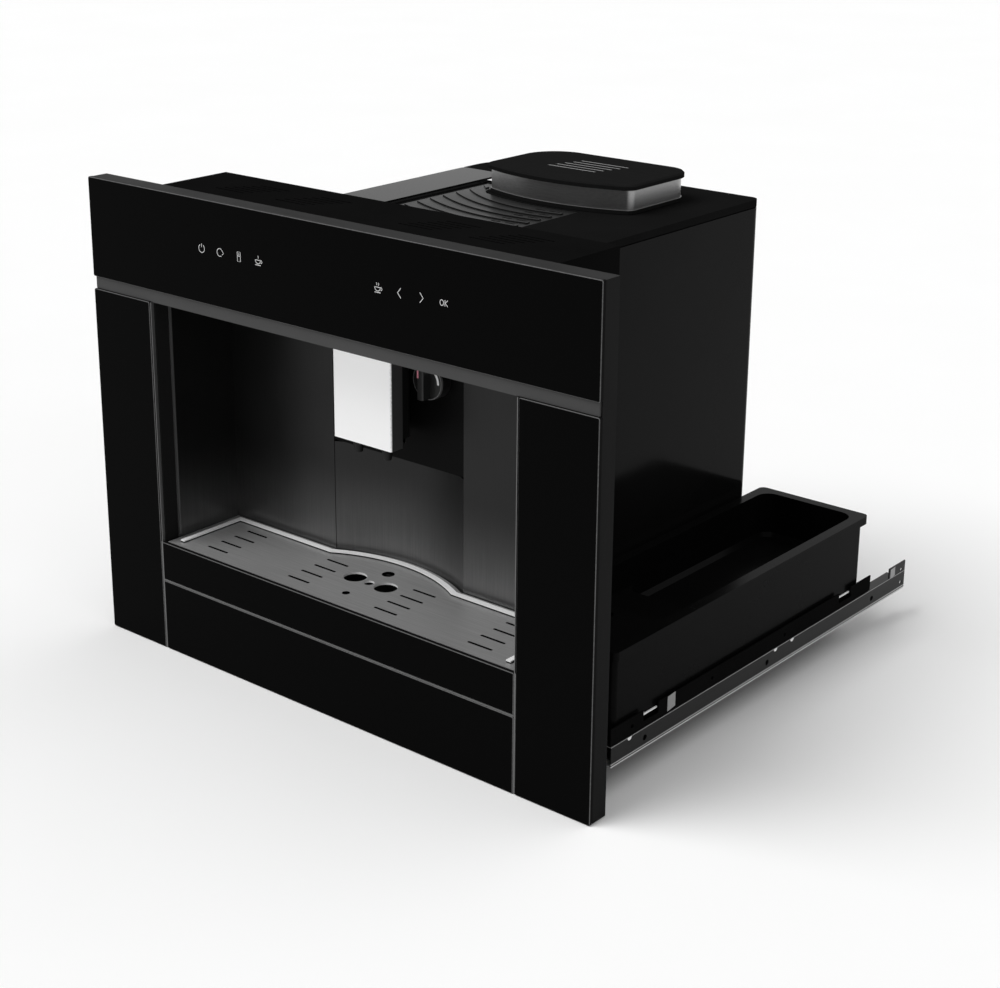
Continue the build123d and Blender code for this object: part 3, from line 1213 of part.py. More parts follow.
def main():
    half = FRONT_WIDTH / 2
    save("front_frame", front_frame())
    save("fascia_glass", glass_plate(-half, half, FASCIA_FOOT, FRONT_HEIGHT))
    save_pair("column_glass", glass_plate(COLUMN_INNER, half, 0, BAND_FOOT))
    save("lower_panel_glass", glass_plate(-OPENING_HALF, OPENING_HALF, 0, PANEL_HEIGHT))
    save("front_band", front_band())
    save("metal_trims", metal_trims())
    save("display_board", display_board())
    save("front_box", front_box())
    save("niche_liner", niche_liner())
    save("brew_front_panel", brew_front_panel())
    save("drip_front_glass", glass_plate(-OPENING_HALF, OPENING_HALF, STRIP_FOOT, STRIP_TOP))
    save("drip_tub", drip_tub())
    save("drip_grille", drip_grille())
    save("grounds_container", grounds_container())
    save("spout_cover", spout_cover())
    save("spout_core", spout_core())
    save("spout_nozzles", spout_nozzles())
    save("spout_guide", spout_guide())
    save("steam_knob", steam_knob())
    save("steam_valve", steam_valve())
    wall = body_wall()
    save("side_panel_right", side_panel_right(wall))
    save("side_panel_left", side_panel_left(wall))
    save("rear_panel", rear_panel(wall))
    save("base_plate", base_plate())
    save("cup_shelf", cup_shelf())
    save("deck", deck())
    save("water_tank", water_tank())
    save("tank_rod", tank_rod())
    save("tank_valve", tank_valve())
    save("tank_lid", tank_lid())
    save("lid_clips", lid_clips())
    save("tank_dock", tank_dock())
    save("hopper_lid", hopper_lid())
    save("bean_hopper", bean_hopper())
    save("grinder_housing", grinder_housing())
    save("ring_burr", ring_burr())
    save("grinder_burr", grinder_burr())
    save("grinder_motor", grinder_motor())
    save("grounds_chute", grounds_chute())
    save("brew_frame", brew_frame())
    save("brew_chamber", brew_chamber())
    save("brew_piston", brew_piston())
    save("boiler", boiler())
    save("pump", pump())
    save("pump_cradle", pump_cradle())
    save("water_hoses", Compound([suction_hose(), pressure_hose()]))
    save("power_board", power_board())
    save("power_inlet", power_inlet())
    save_pair("rail_cabinet", rail_cabinet())
    save("rail_middles", both_sides(rail_middle()))
    save("ball_cages", both_sides(ball_cages()))
    save("rail_inners", both_sides(rail_inner()))
    save_pair("carrier", carrier())
    save_pair("side_tray", side_tray())
    save("panel_screws", panel_screws())


os.makedirs("parts", exist_ok=True)
main()
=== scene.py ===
import json
import math

import bmesh
import bpy
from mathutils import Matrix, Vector


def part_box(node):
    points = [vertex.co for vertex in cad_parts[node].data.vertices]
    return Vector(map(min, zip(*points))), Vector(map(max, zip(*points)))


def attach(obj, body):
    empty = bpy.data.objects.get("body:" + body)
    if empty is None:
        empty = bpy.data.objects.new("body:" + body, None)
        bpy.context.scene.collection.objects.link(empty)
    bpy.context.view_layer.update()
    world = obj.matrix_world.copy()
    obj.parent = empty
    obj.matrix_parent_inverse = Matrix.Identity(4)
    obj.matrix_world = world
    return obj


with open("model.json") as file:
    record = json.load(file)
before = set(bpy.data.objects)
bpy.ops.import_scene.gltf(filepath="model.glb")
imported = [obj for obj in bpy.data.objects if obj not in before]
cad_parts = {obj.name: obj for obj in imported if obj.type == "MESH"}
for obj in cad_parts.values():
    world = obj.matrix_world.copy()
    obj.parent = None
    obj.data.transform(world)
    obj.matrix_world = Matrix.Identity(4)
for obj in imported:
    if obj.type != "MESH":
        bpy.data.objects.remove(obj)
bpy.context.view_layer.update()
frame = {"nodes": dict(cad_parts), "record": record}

# Looks of the built-in coffee machine. Metres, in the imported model's own frame: +X to the
# right, -Y towards the user, +Z up. Small drawn shapes are in millimetres, and moved() brings
# them to their places in metres.

MM = 0.001
GLASS_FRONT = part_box("fascia_glass")[0][1]

# ---- camera: fitted to the photograph's frame of 1000 by 988, angles in degrees ----
CAMERA_PLACE = (1.1114, -1.3815, 0.8047)
CAMERA_DIP = 18.13
CAMERA_YAW = 40.97
LENS = 69.1
SENSOR_WIDTH = 36.0
SHIFT_X = 0.0486
SHIFT_Y = -0.0858
VIEW_END = 60.0

# ---- light: way is the side that a sun stands on, height and spread are in degrees ----
WORLD_GREY = 0.22
SUNS = {
    "key_sun": dict(strength=2.25, height=55, way=(-0.55, -0.75), spread=40),
    "fill_sun": dict(strength=0.4, height=35, way=(0.95, -0.35), spread=50),
    "back_sun": dict(strength=0.6, height=62, way=(0.5, 0.85), spread=50),
}
SUN_DISTANCE = 3.0

# ---- floor ----
FLOOR_COLOUR = (0.95, 0.95, 0.95, 1)
FLOOR_WORN = (0.94, 0.94, 0.938, 1)
FLOOR_SIZE = 40.0
FLOOR_DROP = 0.5 * MM

# ---- stretches that leave the grain long along one way ----
ALONG_X = (0.02, 1, 1)
ALONG_Y = (1, 0.02, 1)
ALONG_Z = (1, 1, 0.02)
WIPED_DOWN = (1, 1, 0.35)


# ---------------------------------------------------------------- node helpers
def new_material(name):
    """A bare material, its node tree and its shader."""
    material = bpy.data.materials.new(name)
    material.use_nodes = True
    tree = material.node_tree
    tree.nodes.clear()
    output = tree.nodes.new("ShaderNodeOutputMaterial")
    shader = tree.nodes.new("ShaderNodeBsdfPrincipled")
    tree.links.new(shader.outputs["BSDF"], output.inputs["Surface"])
    return material, tree, shader


def feed(tree, socket, value):
    """Links the socket to another node's output, or sets it to a plain value."""
    if isinstance(value, bpy.types.NodeSocket):
        tree.links.new(value, socket)
    else:
        socket.default_value = value


def fill(tree, node, **values):
    """Feeds the node's sockets by name, with _ for a blank; other names are its settings."""
    for key, value in values.items():
        socket = node.inputs.get(key.replace("_", " "))
        if socket is None:
            setattr(node, key, value)
        else:
            feed(tree, socket, value)
    return node


def add(tree, kind, **values):
    """A new node with its values."""
    return fill(tree, tree.nodes.new(kind), **values)


def combine(tree, operation, *values):
    """The result of one maths node on outputs or numbers."""
    node = add(tree, "ShaderNodeMath", operation=operation)
    for socket, value in zip(node.inputs, values):
        feed(tree, socket, value)
    return node.outputs[0]


def within(tree, value, middle, half):
    """1 where the value is no further than half from the middle, 0 elsewhere."""
    return combine(tree, "COMPARE", value, middle, half)


# ---- a mix node's sockets for each kind: first input, second input, output ----
MIX_SOCKETS = {"RGBA": (6, 7, 2), "FLOAT": (2, 3, 0)}


def mix(tree, factor, first, second, kind="RGBA"):
    """From first to second as the factor goes from 0 to 1."""
    start, end, result = MIX_SOCKETS[kind]
    node = add(tree, "ShaderNodeMix", data_type=kind)
    for place, value in ((0, factor), (start, first), (end, second)):
        feed(tree, node.inputs[place], value)
    return node.outputs[result]


def remap(tree, value, low, high, start=0.3, end=0.7):
    """From low to high while the value goes from start to end, by default a noise's middle."""
    node = add(tree, "ShaderNodeMapRange", Value=value, From_Min=start, From_Max=end,
               To_Min=low, To_Max=high)
    return node.outputs["Result"]


def axes(tree, vector):
    """The vector's X, Y and Z as outputs."""
    return add(tree, "ShaderNodeSeparateXYZ", Vector=vector).outputs


def facing(tree):
    """X, Y and Z of the way that the surface faces."""
    return axes(tree, add(tree, "ShaderNodeNewGeometry").outputs["True Normal"])


def object_place(tree, stretch=(1, 1, 1)):
    """The surface point in metres, stretched for grain along one way."""
    place = add(tree, "ShaderNodeTexCoord").outputs["Object"]
    return add(tree, "ShaderNodeMapping", Vector=place, Scale=stretch).outputs["Vector"]


def noise(tree, vector, scale, detail, roughness=0.55):
    node = add(tree, "ShaderNodeTexNoise", Vector=vector, Scale=scale, Detail=detail,
               Roughness=roughness)
    return node.outputs["Fac"]


def drawn_lines(tree, along):
    """The fine lines of drawn or rolled metal."""
    return noise(tree, object_place(tree, along), scale=900.0, detail=4.0, roughness=0.7)


def bump(tree, shader, height, strength, depth):
    """Makes the surface uneven by a height from 0 to 1, depth in metres."""
    node = add(tree, "ShaderNodeBump", Strength=strength, Distance=depth, Height=height)
    fill(tree, shader, Normal=node.outputs["Normal"])


def grey(value, tint=(1, 1, 1)):
    """A colour of that value; tint holds shares of it for red, green and blue."""
    return (value * tint[0], value * tint[1], value * tint[2], 1)


def uneven(tree, factor, colour, less, more):
    """The colour, from darker to lighter by shares of itself as the factor goes from 0 to 1."""
    low = tuple(part * (1 - less) for part in colour[:3]) + (1,)
    high = tuple(min(1, part * (1 + more)) for part in colour[:3]) + (1,)
    return mix(tree, factor, low, high)


def lined(tree, drawn, colour, line, most):
    """The colour with drawn lines of the grey line over it, at most by that share."""
    return mix(tree, remap(tree, drawn, 0, most), colour, grey(line))


LEAST_ROUGHNESS = 0.02


def smudged(tree, value, rough, less, more):
    """Roughness that a noise varies, from less below the given one to more above it."""
    return remap(tree, value, max(LEAST_ROUGHNESS, rough - less), min(1, rough + more))


# ---------------------------------------------------------------- kinds of finish
CLOUD_SCALE = 14.0
PATCH_SCALE = CLOUD_SCALE * 0.45
FINE_GRAIN = 0.02 * MM
DRAWN_GRAIN = 0.03 * MM


def plain(name, colour, rough, metallic=0.0, specular=0.5, spread=0.15, grain=900.0,
          grain_depth=FINE_GRAIN, smudge=0.06):
    """Moulded, painted or cast surface: soft tone changes, uneven gloss and a fine grain."""
    material, tree, shader = new_material(name)
    here = object_place(tree)
    tone = remap(tree, noise(tree, here, CLOUD_SCALE, detail=5.0), 0, 1)
    patches = noise(tree, here, PATCH_SCALE, detail=6.0, roughness=0.62)
    fill(tree, shader, Base_Color=uneven(tree, tone, colour, less=spread, more=spread),
         Roughness=smudged(tree, patches, rough, less=smudge, more=smudge),
         Metallic=metallic, Specular_IOR_Level=specular)
    bump(tree, shader, noise(tree, here, grain, detail=3.0), strength=0.35, depth=grain_depth)
    return material


def brushed(name, colour, rough, along, metallic=1.0, contrast=0.22, specular=0.3):
    """Metal with drawn lines along one way."""
    material, tree, shader = new_material(name)
    lines = drawn_lines(tree, along)
    broad = noise(tree, object_place(tree, along), scale=60.0, detail=3.0)
    cloud = noise(tree, object_place(tree), scale=9.0, detail=3.0)
    mean = combine(tree, "MULTIPLY", combine(tree, "ADD", lines, broad), 0.5)
    tone = remap(tree, mean, 0, 1, start=0.35, end=0.65)
    fill(tree, shader,
         Base_Color=uneven(tree, tone, colour, less=contrast, more=contrast * 0.6),
         Roughness=smudged(tree, cloud, rough, less=0.05, more=0.06),
         Metallic=metallic, Specular_IOR_Level=specular)
    bump(tree, shader, lines, strength=0.5, depth=DRAWN_GRAIN)
    return material


CHAMFER_ROUGHNESS = 0.4


def faced(name, face, side, ground, gloss, specular, metallic=0.0):
    """A flat front with ground chamfers and darker sides, told apart by the way they face. On
    the spout the darker sides are painted shade.
    """
    material, tree, shader = new_material(name)
    turned = combine(tree, "ABSOLUTE", facing(tree)["Y"])
    on_face = remap(tree, turned, 0, 1, start=0.9, end=0.97)
    on_side = remap(tree, turned, 1, 0, start=0.1, end=0.4)
    patchy = remap(tree, noise(tree, object_place(tree), scale=500.0, detail=4.0), 0, 1)
    chamfer = uneven(tree, patchy, grey(ground), less=0.2, more=0.2)
    sides = mix(tree, on_side, chamfer, grey(side))
    wiped = noise(tree, object_place(tree, WIPED_DOWN), scale=7.0, detail=6.0, roughness=0.6)
    face_gloss = remap(tree, wiped, *gloss)
    fill(tree, shader, Base_Color=mix(tree, on_face, sides, grey(face)),
         Roughness=mix(tree, on_face, CHAMFER_ROUGHNESS, face_gloss, "FLOAT"),
         Metallic=metallic, Specular_IOR_Level=specular)
    return material


def painted_highlight_bands(name, foot, height, highlight_lines, ground, rough, metallic):
    """Rolled metal: a dark web with painted highlights, bright lines along its folds.

    Each band is (from, to, grey), in metres over the foot."""
    material, tree, shader = new_material(name)
    level = axes(tree, object_place(tree))["Z"]
    up = remap(tree, level, 0, 1, start=foot, end=foot + height)
    ramp = add(tree, "ShaderNodeValToRGB", Fac=up)
    stops = ramp.color_ramp.elements
    ramp.color_ramp.interpolation = "CONSTANT"
    for stop in stops:
        stop.color = grey(ground)
    for low, high, tone in highlight_lines:
        stops.new(low / height).color = grey(tone)
        stops.new(high / height).color = grey(ground)
    drawn = drawn_lines(tree, ALONG_Y)
    shade = lined(tree, drawn, ramp.outputs["Color"], line=ground * 1.6, most=0.3)
    fill(tree, shader, Base_Color=shade, Metallic=metallic, Specular_IOR_Level=0.1,
         Roughness=smudged(tree, drawn, rough, less=0.05, more=0.05))
    return material


def satin_with_painted_sheen(name, low, high, foot, top, rough):
    """Satin steel with a painted sheen: lightest at its foot and falling off to the low tone at
    its top, painting the reflection of the bright drip grille below.
    """
    material, tree, shader = new_material(name)
    level = axes(tree, object_place(tree))["Z"]
    # painted sheen: lighter towards the drip grille
    down = remap(tree, level, 1, 0, start=foot, end=top)
    painted_sheen = combine(tree, "POWER", down, 2.0)
    broad = mix(tree, painted_sheen, grey(low), grey(high))
    drawn = drawn_lines(tree, ALONG_Z)
    cloud = noise(tree, object_place(tree), CLOUD_SCALE, detail=3.0)
    shade = lined(tree, drawn, broad, line=low * 0.7, most=0.25)
    fill(tree, shader, Base_Color=shade, Metallic=0.9, Specular_IOR_Level=0.1,
         Roughness=smudged(tree, cloud, rough, less=0.04, more=0.05))
    bump(tree, shader, drawn, strength=0.4, depth=FINE_GRAIN)
    return material


EDGE_FADE = 0.1 * MM
# black of the walls of the drip grille's openings: painted shade
OPENING_PAINTED_SHADE = 0.001


def on_walls(tree, area):
    """1 on upright faces inside the area ((x, half), (y, half)), 0 elsewhere."""
    place = axes(tree, object_place(tree))
    mask = within(tree, facing(tree)["Z"], middle=0.0, half=0.5)
    for axis, (middle, half) in zip("XY", area):
        mask = combine(tree, "MULTIPLY", mask, within(tree, place[axis], middle, half))
    return mask


def height_zones(name, foot, low, high, rough, metallic, highlight_walls_area, shaded_walls_area=None, top=None):
    """Two finishes on one piece, told apart by height: low up to foot, high above it.

    With top given, the high finish ends there and the low one takes over again.  The walls of
    the openings inside highlight_walls_area are bright metal too, as painted highlights, and
    the others in shaded_walls_area are black, as painted shade.  On the drip grille the white
    high finish of the rim is a painted highlight.
    rough and metallic are pairs, for the low finish and for the high one."""
    material, tree, shader = new_material(name)
    drawn = drawn_lines(tree, ALONG_X)
    level = axes(tree, object_place(tree))["Z"]
    zone = remap(tree, level, 0, 1, start=foot - EDGE_FADE, end=foot + EDGE_FADE)
    if top is not None:
        until = remap(tree, level, 1, 0, start=top - EDGE_FADE, end=top + EDGE_FADE)
        zone = combine(tree, "MULTIPLY", zone, until)
    zone = combine(tree, "MAXIMUM", zone, on_walls(tree, highlight_walls_area))
    grain = remap(tree, drawn, 0, 1)
    darker = uneven(tree, grain, grey(low), less=0.14, more=0.14)
    if shaded_walls_area:
        darker = mix(tree, on_walls(tree, shaded_walls_area), darker, grey(OPENING_PAINTED_SHADE))
    lighter = uneven(tree, grain, grey(high), less=0.14, more=0.14)
    fill(tree, shader, Base_Color=mix(tree, zone, darker, lighter), Specular_IOR_Level=0.0,
         Roughness=remap(tree, zone, *rough, start=0, end=1),
         Metallic=remap(tree, zone, *metallic, start=0, end=1))
    bump(tree, shader, drawn, strength=0.4, depth=FINE_GRAIN)
    return material


def printed(name, colour):
    """White or coloured print, slightly uneven as screen printing is."""
    material, tree, shader = new_material(name)
    tone = remap(tree, noise(tree, object_place(tree), scale=2500.0, detail=2.0), 0, 1)
    fill(tree, shader, Base_Color=uneven(tree, tone, colour, less=0.14, more=0), Roughness=0.5)
    return material


def floor_paint(name):
    """White floor with a faint change of tone."""
    material, tree, shader = new_material(name)
    tone = remap(tree, noise(tree, object_place(tree), scale=3.0, detail=3.0), 0, 1)
    fill(tree, shader, Base_Color=mix(tree, tone, FLOOR_COLOUR, FLOOR_WORN), Roughness=0.85,
         Specular_IOR_Level=0.1)
    return material


# ---------------------------------------------------------------- the materials
def span(node, margin):
    """Middle and half length of a node along x and y, less a margin."""
    low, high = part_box(node)
    middles = [(low[axis] + high[axis]) / 2 for axis in (0, 1)]
    halves = [(high[axis] - low[axis]) / 2 - margin for axis in (0, 1)]
    return list(zip(middles, halves))


# ---- where painted highlights, shade and sheen lie on the drip grille, the niche, the bean lid and the rails, and where the lid's finish changes ----
# An area holds its middle and half length along x, then the same along y.
RIM_HEIGHT = 2.4 * MM
GRILLE_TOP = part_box("drip_grille")[1][2] - RIM_HEIGHT
GRILLE_AREA = span("drip_grille", margin=2.5 * MM)
DRAIN_AREA = ((0.0, 34.0 * MM), (GLASS_FRONT + 60.0 * MM, 13.5 * MM))
PAINTED_SHEEN_HEIGHT = 95.0 * MM
LID_BAND_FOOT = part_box("deck")[1][2] + 4.0 * MM
LID_CAP_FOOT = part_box("hopper_lid")[1][2] - 5.0 * MM
LID_CAP_AREA = span("hopper_lid", margin=15.0 * MM)
RAIL_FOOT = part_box("rail_cabinet_right")[0][2]
RAIL_HEIGHT = 19.4 * MM
# bright lines on the rail's folds, painted highlights: from, to, grey
RAIL_HIGHLIGHT_LINES = (
    (0.1 * MM, 1.3 * MM, 0.8),
    (2.4 * MM, 3.5 * MM, 0.5),
    (18.5 * MM, 19.3 * MM, 0.35),
)

# ---- one finish for each slot of the record ----
SLOT_FINISHES = {
    "black_glass": (faced, dict(face=0.0024, side=0.006, ground=0.11, gloss=(0.045, 0.085),
                                specular=0.01)),
    "grey_steel": (brushed, dict(colour=grey(0.011), rough=0.5, along=ALONG_Z, metallic=0.0,
                                 contrast=0.1, specular=0.02)),
    "band_grey": (plain, dict(colour=grey(0.056), rough=0.5, specular=0.1, spread=0.05)),
    "bright_trim": (brushed, dict(colour=grey(0.14), rough=0.35, along=ALONG_Z, metallic=0.6,
                                  contrast=0.08)),
    "zinc_sheet": (plain, dict(colour=grey(0.0056), rough=0.5, specular=0.0, spread=0.1,
                               grain=1400)),
    # niche steel: the high tone towards the drip grille is a painted sheen, the grille's
    # reflection
    "dark_satin": (satin_with_painted_sheen, dict(low=0.028, high=0.18, foot=GRILLE_TOP,
                               top=GRILLE_TOP + PAINTED_SHEEN_HEIGHT, rough=0.36)),
    "black_plastic": (plain, dict(colour=grey(0.008), rough=0.5, specular=0.2, grain=2200,
                                  grain_depth=0.04 * MM)),
    "brushed_steel": (brushed, dict(colour=grey(0.62, (1, 1, 1.01)), rough=0.36,
                                    along=ALONG_X)),
    "knob_black": (plain, dict(colour=grey(0.012), rough=0.35, specular=0.35)),
    "polished_steel": (brushed, dict(colour=grey(0.66), rough=0.2, along=ALONG_Z,
                                     contrast=0.05)),
    "brass": (plain, dict(colour=(0.55, 0.38, 0.13, 1), rough=0.32, metallic=1.0)),
    "gloss_black": (plain, dict(colour=grey(0.0045), rough=0.12, specular=0.03, spread=0.1,
                                grain=300, grain_depth=0.004 * MM, smudge=0.03)),
    "tank_plastic": (plain, dict(colour=grey(0.006), rough=0.14, specular=0.12, grain=300,
                                 grain_depth=0.004 * MM, smudge=0.03)),
    "white_plastic": (plain, dict(colour=grey(0.72, (1, 1, 0.97)), rough=0.4)),
    "chrome": (plain, dict(colour=grey(0.82), rough=0.08, metallic=1.0, spread=0.03,
                           smudge=0.03)),
    "smoked_plastic": (plain, dict(colour=(0.05, 0.042, 0.036, 1), rough=0.2)),
    "motor_can": (plain, dict(colour=grey(0.25), rough=0.4, metallic=0.8)),
    "cast_alloy": (plain, dict(colour=grey(0.5), rough=0.5, metallic=0.9, grain=600,
                               grain_depth=0.1 * MM)),
    "silicone_hose": (plain, dict(colour=grey(0.6, (1, 1, 0.96)), rough=0.5)),
    "circuit_board": (plain, dict(colour=(0.02, 0.13, 0.06, 1), rough=0.4)),
    "rail_steel": (painted_highlight_bands, dict(foot=RAIL_FOOT, height=RAIL_HEIGHT, highlight_lines=RAIL_HIGHLIGHT_LINES,
                                      ground=0.014, rough=0.4, metallic=0.3)),
    "tray_plastic": (plain, dict(colour=grey(0.003), rough=0.24, specular=0.02, spread=0.1,
                                 grain=1500, grain_depth=0.01 * MM)),
}

# ---- finishes of single nodes and of the pieces that this script adds ----
PIECE_FINISHES = {
    # spout: the sides, far darker than the front, are painted shade of the niche's dark walls
    "spout_steel": (faced, dict(face=0.95, side=0.1, ground=0.9, gloss=(0.34, 0.42),
                                specular=0.3, metallic=0.5)),
    "shelf_steel": (brushed, dict(colour=grey(0.016), rough=0.3, along=ALONG_Y, metallic=0.1,
                                  contrast=0.15, specular=0.02)),
    "deck_black": (plain, dict(colour=grey(0.008), rough=0.42, specular=0.0, spread=0.08,
                               grain=1600)),
    "brew_black": (plain, dict(colour=grey(0.003), rough=0.45, specular=0.04, spread=0.06,
                               grain=1800)),
    # drip grille: the white rim is a painted highlight, the drain walls are bright as painted
    # highlight, the other openings' walls are black as painted shade
    "grille_steel": (height_zones, dict(foot=GRILLE_TOP + RIM_HEIGHT / 2, low=0.44, high=1.0,
                                        rough=(0.36, 0.3), metallic=(0.6, 0.0),
                                        highlight_walls_area=DRAIN_AREA, shaded_walls_area=GRILLE_AREA)),
    # bean lid: a dark cap and foot with a steel band; the walls of the grooves in the cap are
    # bright metal as painted highlights
    "lid_steel": (height_zones, dict(foot=LID_BAND_FOOT, low=0.012, high=0.3,
                                     rough=(0.42, 0.3), metallic=(0.0, 1.0),
                                     highlight_walls_area=LID_CAP_AREA, top=LID_CAP_FOOT)),
    # grey steel of the rail latches, also the painted glints in the lid's grooves
    "latch_steel": (plain, dict(colour=grey(0.3), rough=0.35, metallic=0.4)),
    "print_white": (printed, dict(colour=grey(0.62))),
    "print_pink": (printed, dict(colour=(0.80, 0.30, 0.38, 1))),
    # bright white of the rail screw heads, also the painted highlight and glint on the knob and
    # the painted cage glints on the rails
    "print_bright": (printed, dict(colour=grey(0.95))),
    "print_grey": (printed, dict(colour=grey(0.16))),
}

# ---- nodes with a finish of their own in place of their slot's ----
OWN_MATERIAL = {
    "spout_cover": "spout_steel", "cup_shelf": "shelf_steel", "drip_grille": "grille_steel",
    "hopper_lid": "lid_steel", "deck": "deck_black", "brew_front_panel": "brew_black",
    "tank_rod": "chrome",
}

# ---- nodes that get softly rounded edges ----
BEVELLED = ("side_tray_right", "side_tray_left", "front_frame", "front_band",
            "grounds_container", "spout_cover", "steam_knob")
BEVEL_WIDTH = 0.5 * MM
BEVEL_SEGMENTS = 2
BEVEL_FROM_ANGLE = 50


def make_materials():
    """The materials of both tables, by name."""
    finishes = {**SLOT_FINISHES, **PIECE_FINISHES}
    return {name: finish(name, **looks) for name, (finish, looks) in finishes.items()}


def dress_nodes(materials):
    """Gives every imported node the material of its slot, or its own, and rounds some edges."""
    for row in frame["record"]["subparts"]:
        node = frame["nodes"][row["node"]]
        chosen = materials[OWN_MATERIAL.get(row["node"], row["material_slot"])]
        if not node.material_slots:
            node.data.materials.append(chosen)
        for place in node.material_slots:
            place.link = "OBJECT"
            place.material = chosen
    for name in BEVELLED:
        edge = frame["nodes"][name].modifiers.new("edge", "BEVEL")
        edge.width = BEVEL_WIDTH
        edge.segments = BEVEL_SEGMENTS
        edge.limit_method = "ANGLE"
        edge.angle_limit = math.radians(BEVEL_FROM_ANGLE)


# ---------------------------------------------------------------- thin printed shapes
FACE_GAP = 0.12 * MM
PRINT_DEPTH = 0.08 * MM
ICON_LINE = 0.62


def new_object(name, data):
    """An object of that data in the scene."""
    made = bpy.data.objects.new(name, data)
    bpy.context.collection.objects.link(made)
    return made


def oblong(left, foot, right, top):
    """Corners of a rectangle with its sides along the axes."""
    return ((left, foot), (right, foot), (right, top), (left, top))


def arc(cx, cz, radius, start, end, steps=20, squash=1.0):
    """Points round a centre, angles in degrees; squash stretches the height."""
    points = []
    for index in range(steps + 1):
        angle = math.radians(start + (end - start) * index / steps)
        points.append((cx + radius * math.cos(angle), cz + radius * math.sin(angle) * squash))
    return points


def stroke(points, width=ICON_LINE, closed=False):
    """Ribbon of quads along a line of (x, z) points."""
    count = len(points)
    sides = []
    for index, (x, z) in enumerate(points):
        before = points[index - 1] if index or closed else points[index]
        after = points[(index + 1) % count] if index < count - 1 or closed else points[index]
        dx, dz = after[0] - before[0], after[1] - before[1]
        length = math.hypot(dx, dz) or 1.0
        nx, nz = -dz / length * width / 2, dx / length * width / 2
        sides.append(((x + nx, z + nz), (x - nx, z - nz)))
    quads = []
    for index in range(count if closed else count - 1):
        left, right = sides[index]
        next_left, next_right = sides[(index + 1) % count]
        quads.append((left, right, next_right, next_left))
    return quads


def moved(faces, x, z):
    """Flat faces drawn in millimetres, in metres and moved by x and z."""
    return [tuple((px * MM + x, pz * MM + z) for px, pz in face) for face in faces]


def on_front(y):
    """Places on a plane that faces the user, lifted off it by depth."""
    return lambda x, z, depth: (x, y - depth, z)


def on_top(z):
    """Places on a level plane."""
    return lambda x, y, depth: (x, y, z + depth)


def on_side(x, way):
    """Places on a plane that faces right (way 1) or left (way -1)."""
    return lambda y, z, depth: (x + way * depth, y, z)


def print_piece(name, faces, place, body, material, depth=PRINT_DEPTH):
    """A thin piece of flat faces, given as pairs in metres, on the plane of place."""
    mesh = bpy.data.meshes.new(name)
    shape = bmesh.new()
    for face in faces:
        front = [shape.verts.new(place(*pair, depth)) for pair in face]
        back = [shape.verts.new(place(*pair, 0)) for pair in face]
        shape.faces.new(front)
        shape.faces.new(back[::-1])
        for index in range(len(face)):
            after = (index + 1) % len(face)
            shape.faces.new((front[index], back[index], back[after], front[after]))
    bmesh.ops.recalc_face_normals(shape, faces=shape.faces)
    shape.to_mesh(mesh)
    shape.free()
    mesh.materials.append(material)
    piece = new_object(name, mesh)
    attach(piece, body)


# ---- icons on the fascia, in two groups ----
ICON_GROUPS = (-143, 70)
ICON_PITCH = 24
ICONS_IN_GROUP = 4
ICON_HEIGHT = 410.5 * MM
CHEVRON_LINE = ICON_LINE * 1.15


def power_icon():
    ring = stroke(arc(0, 0, radius=3.7, start=122, end=418, steps=28))
    return ring + stroke([(0, 1.2), (0, 4.4)])


def rinse_icon():
    ring = stroke(arc(-0.4, 0, radius=3.5, start=40, end=330, steps=24))
    return ring + stroke([(2.2, 2.3), (4.4, -0.2), (1.6, -2.8)])


def tank_icon():
    body = stroke([(-1.9, 4.2), (-1.9, -4.2), (1.9, -4.2), (1.9, 4.2)], closed=True)
    return body + stroke([(-1.9, 0.6), (1.9, 0.6)]) + stroke([(-0.9, 2.4), (0.9, 2.4)])


def cup_icon(steam):
    """A cup on its saucer, with a wisp of steam over each place."""
    base = arc(0, 0.8, radius=3.2, start=180, end=360, steps=14)
    bowl = stroke([(-3.2, 0.8)] + base + [(3.2, 0.8)], closed=True)
    handle = stroke(arc(3.6, -0.3, radius=1.3, start=100, end=-100, steps=10))
    saucer = stroke([(-3.4, -3.6), (3.4, -3.6)])
    wisps = [stroke([(x, 2.2), (x + 0.5, 3.3), (x, 4.6)]) for x in steam]
    return bowl + handle + saucer + sum(wisps, [])


def chevron_icon(way):
    """An arrow that points right (way 1) or left (way -1)."""
    return stroke([(-1.7 * way, 4.2), (1.9 * way, 0), (-1.7 * way, -4.2)], CHEVRON_LINE)


def ok_icon():
    ring = stroke(arc(-2.3, 0, radius=1.9, start=0, end=360, squash=1.25))
    upright = stroke([(1.1, 2.6), (1.1, -2.6)])
    arms = stroke([(4.0, 2.6), (1.4, 0), (4.0, -2.6)])
    return ring + upright + arms


def fascia_icons(materials):
    """Eight icons on the glass, from left to right."""
    drawings = {
        "icon_power": power_icon(), "icon_rinse": rinse_icon(), "icon_tank": tank_icon(),
        "icon_steam": cup_icon([0.2]), "icon_cup": cup_icon([-1.2, 1.0]),
        "icon_back": chevron_icon(-1), "icon_next": chevron_icon(1), "icon_ok": ok_icon(),
    }
    steps = range(ICONS_IN_GROUP)
    places = [first + ICON_PITCH * step for first in ICON_GROUPS for step in steps]
    glass = on_front(GLASS_FRONT - FACE_GAP)
    for x, (name, quads) in zip(places, drawings.items()):
        print_piece(name, moved(quads, x * MM, ICON_HEIGHT), glass, "machine",
                    materials["print_white"])


# ---- marks on the steam knob, with painted highlights on it ----
KNOB_DISC_DEPTH = 10.0 * MM
RIM_RADIUS = 16.2
POINTER = oblong(-3.0, 5.0, -1.2, 13.0)
DROP_PLACE = (-7.5, 12.5)


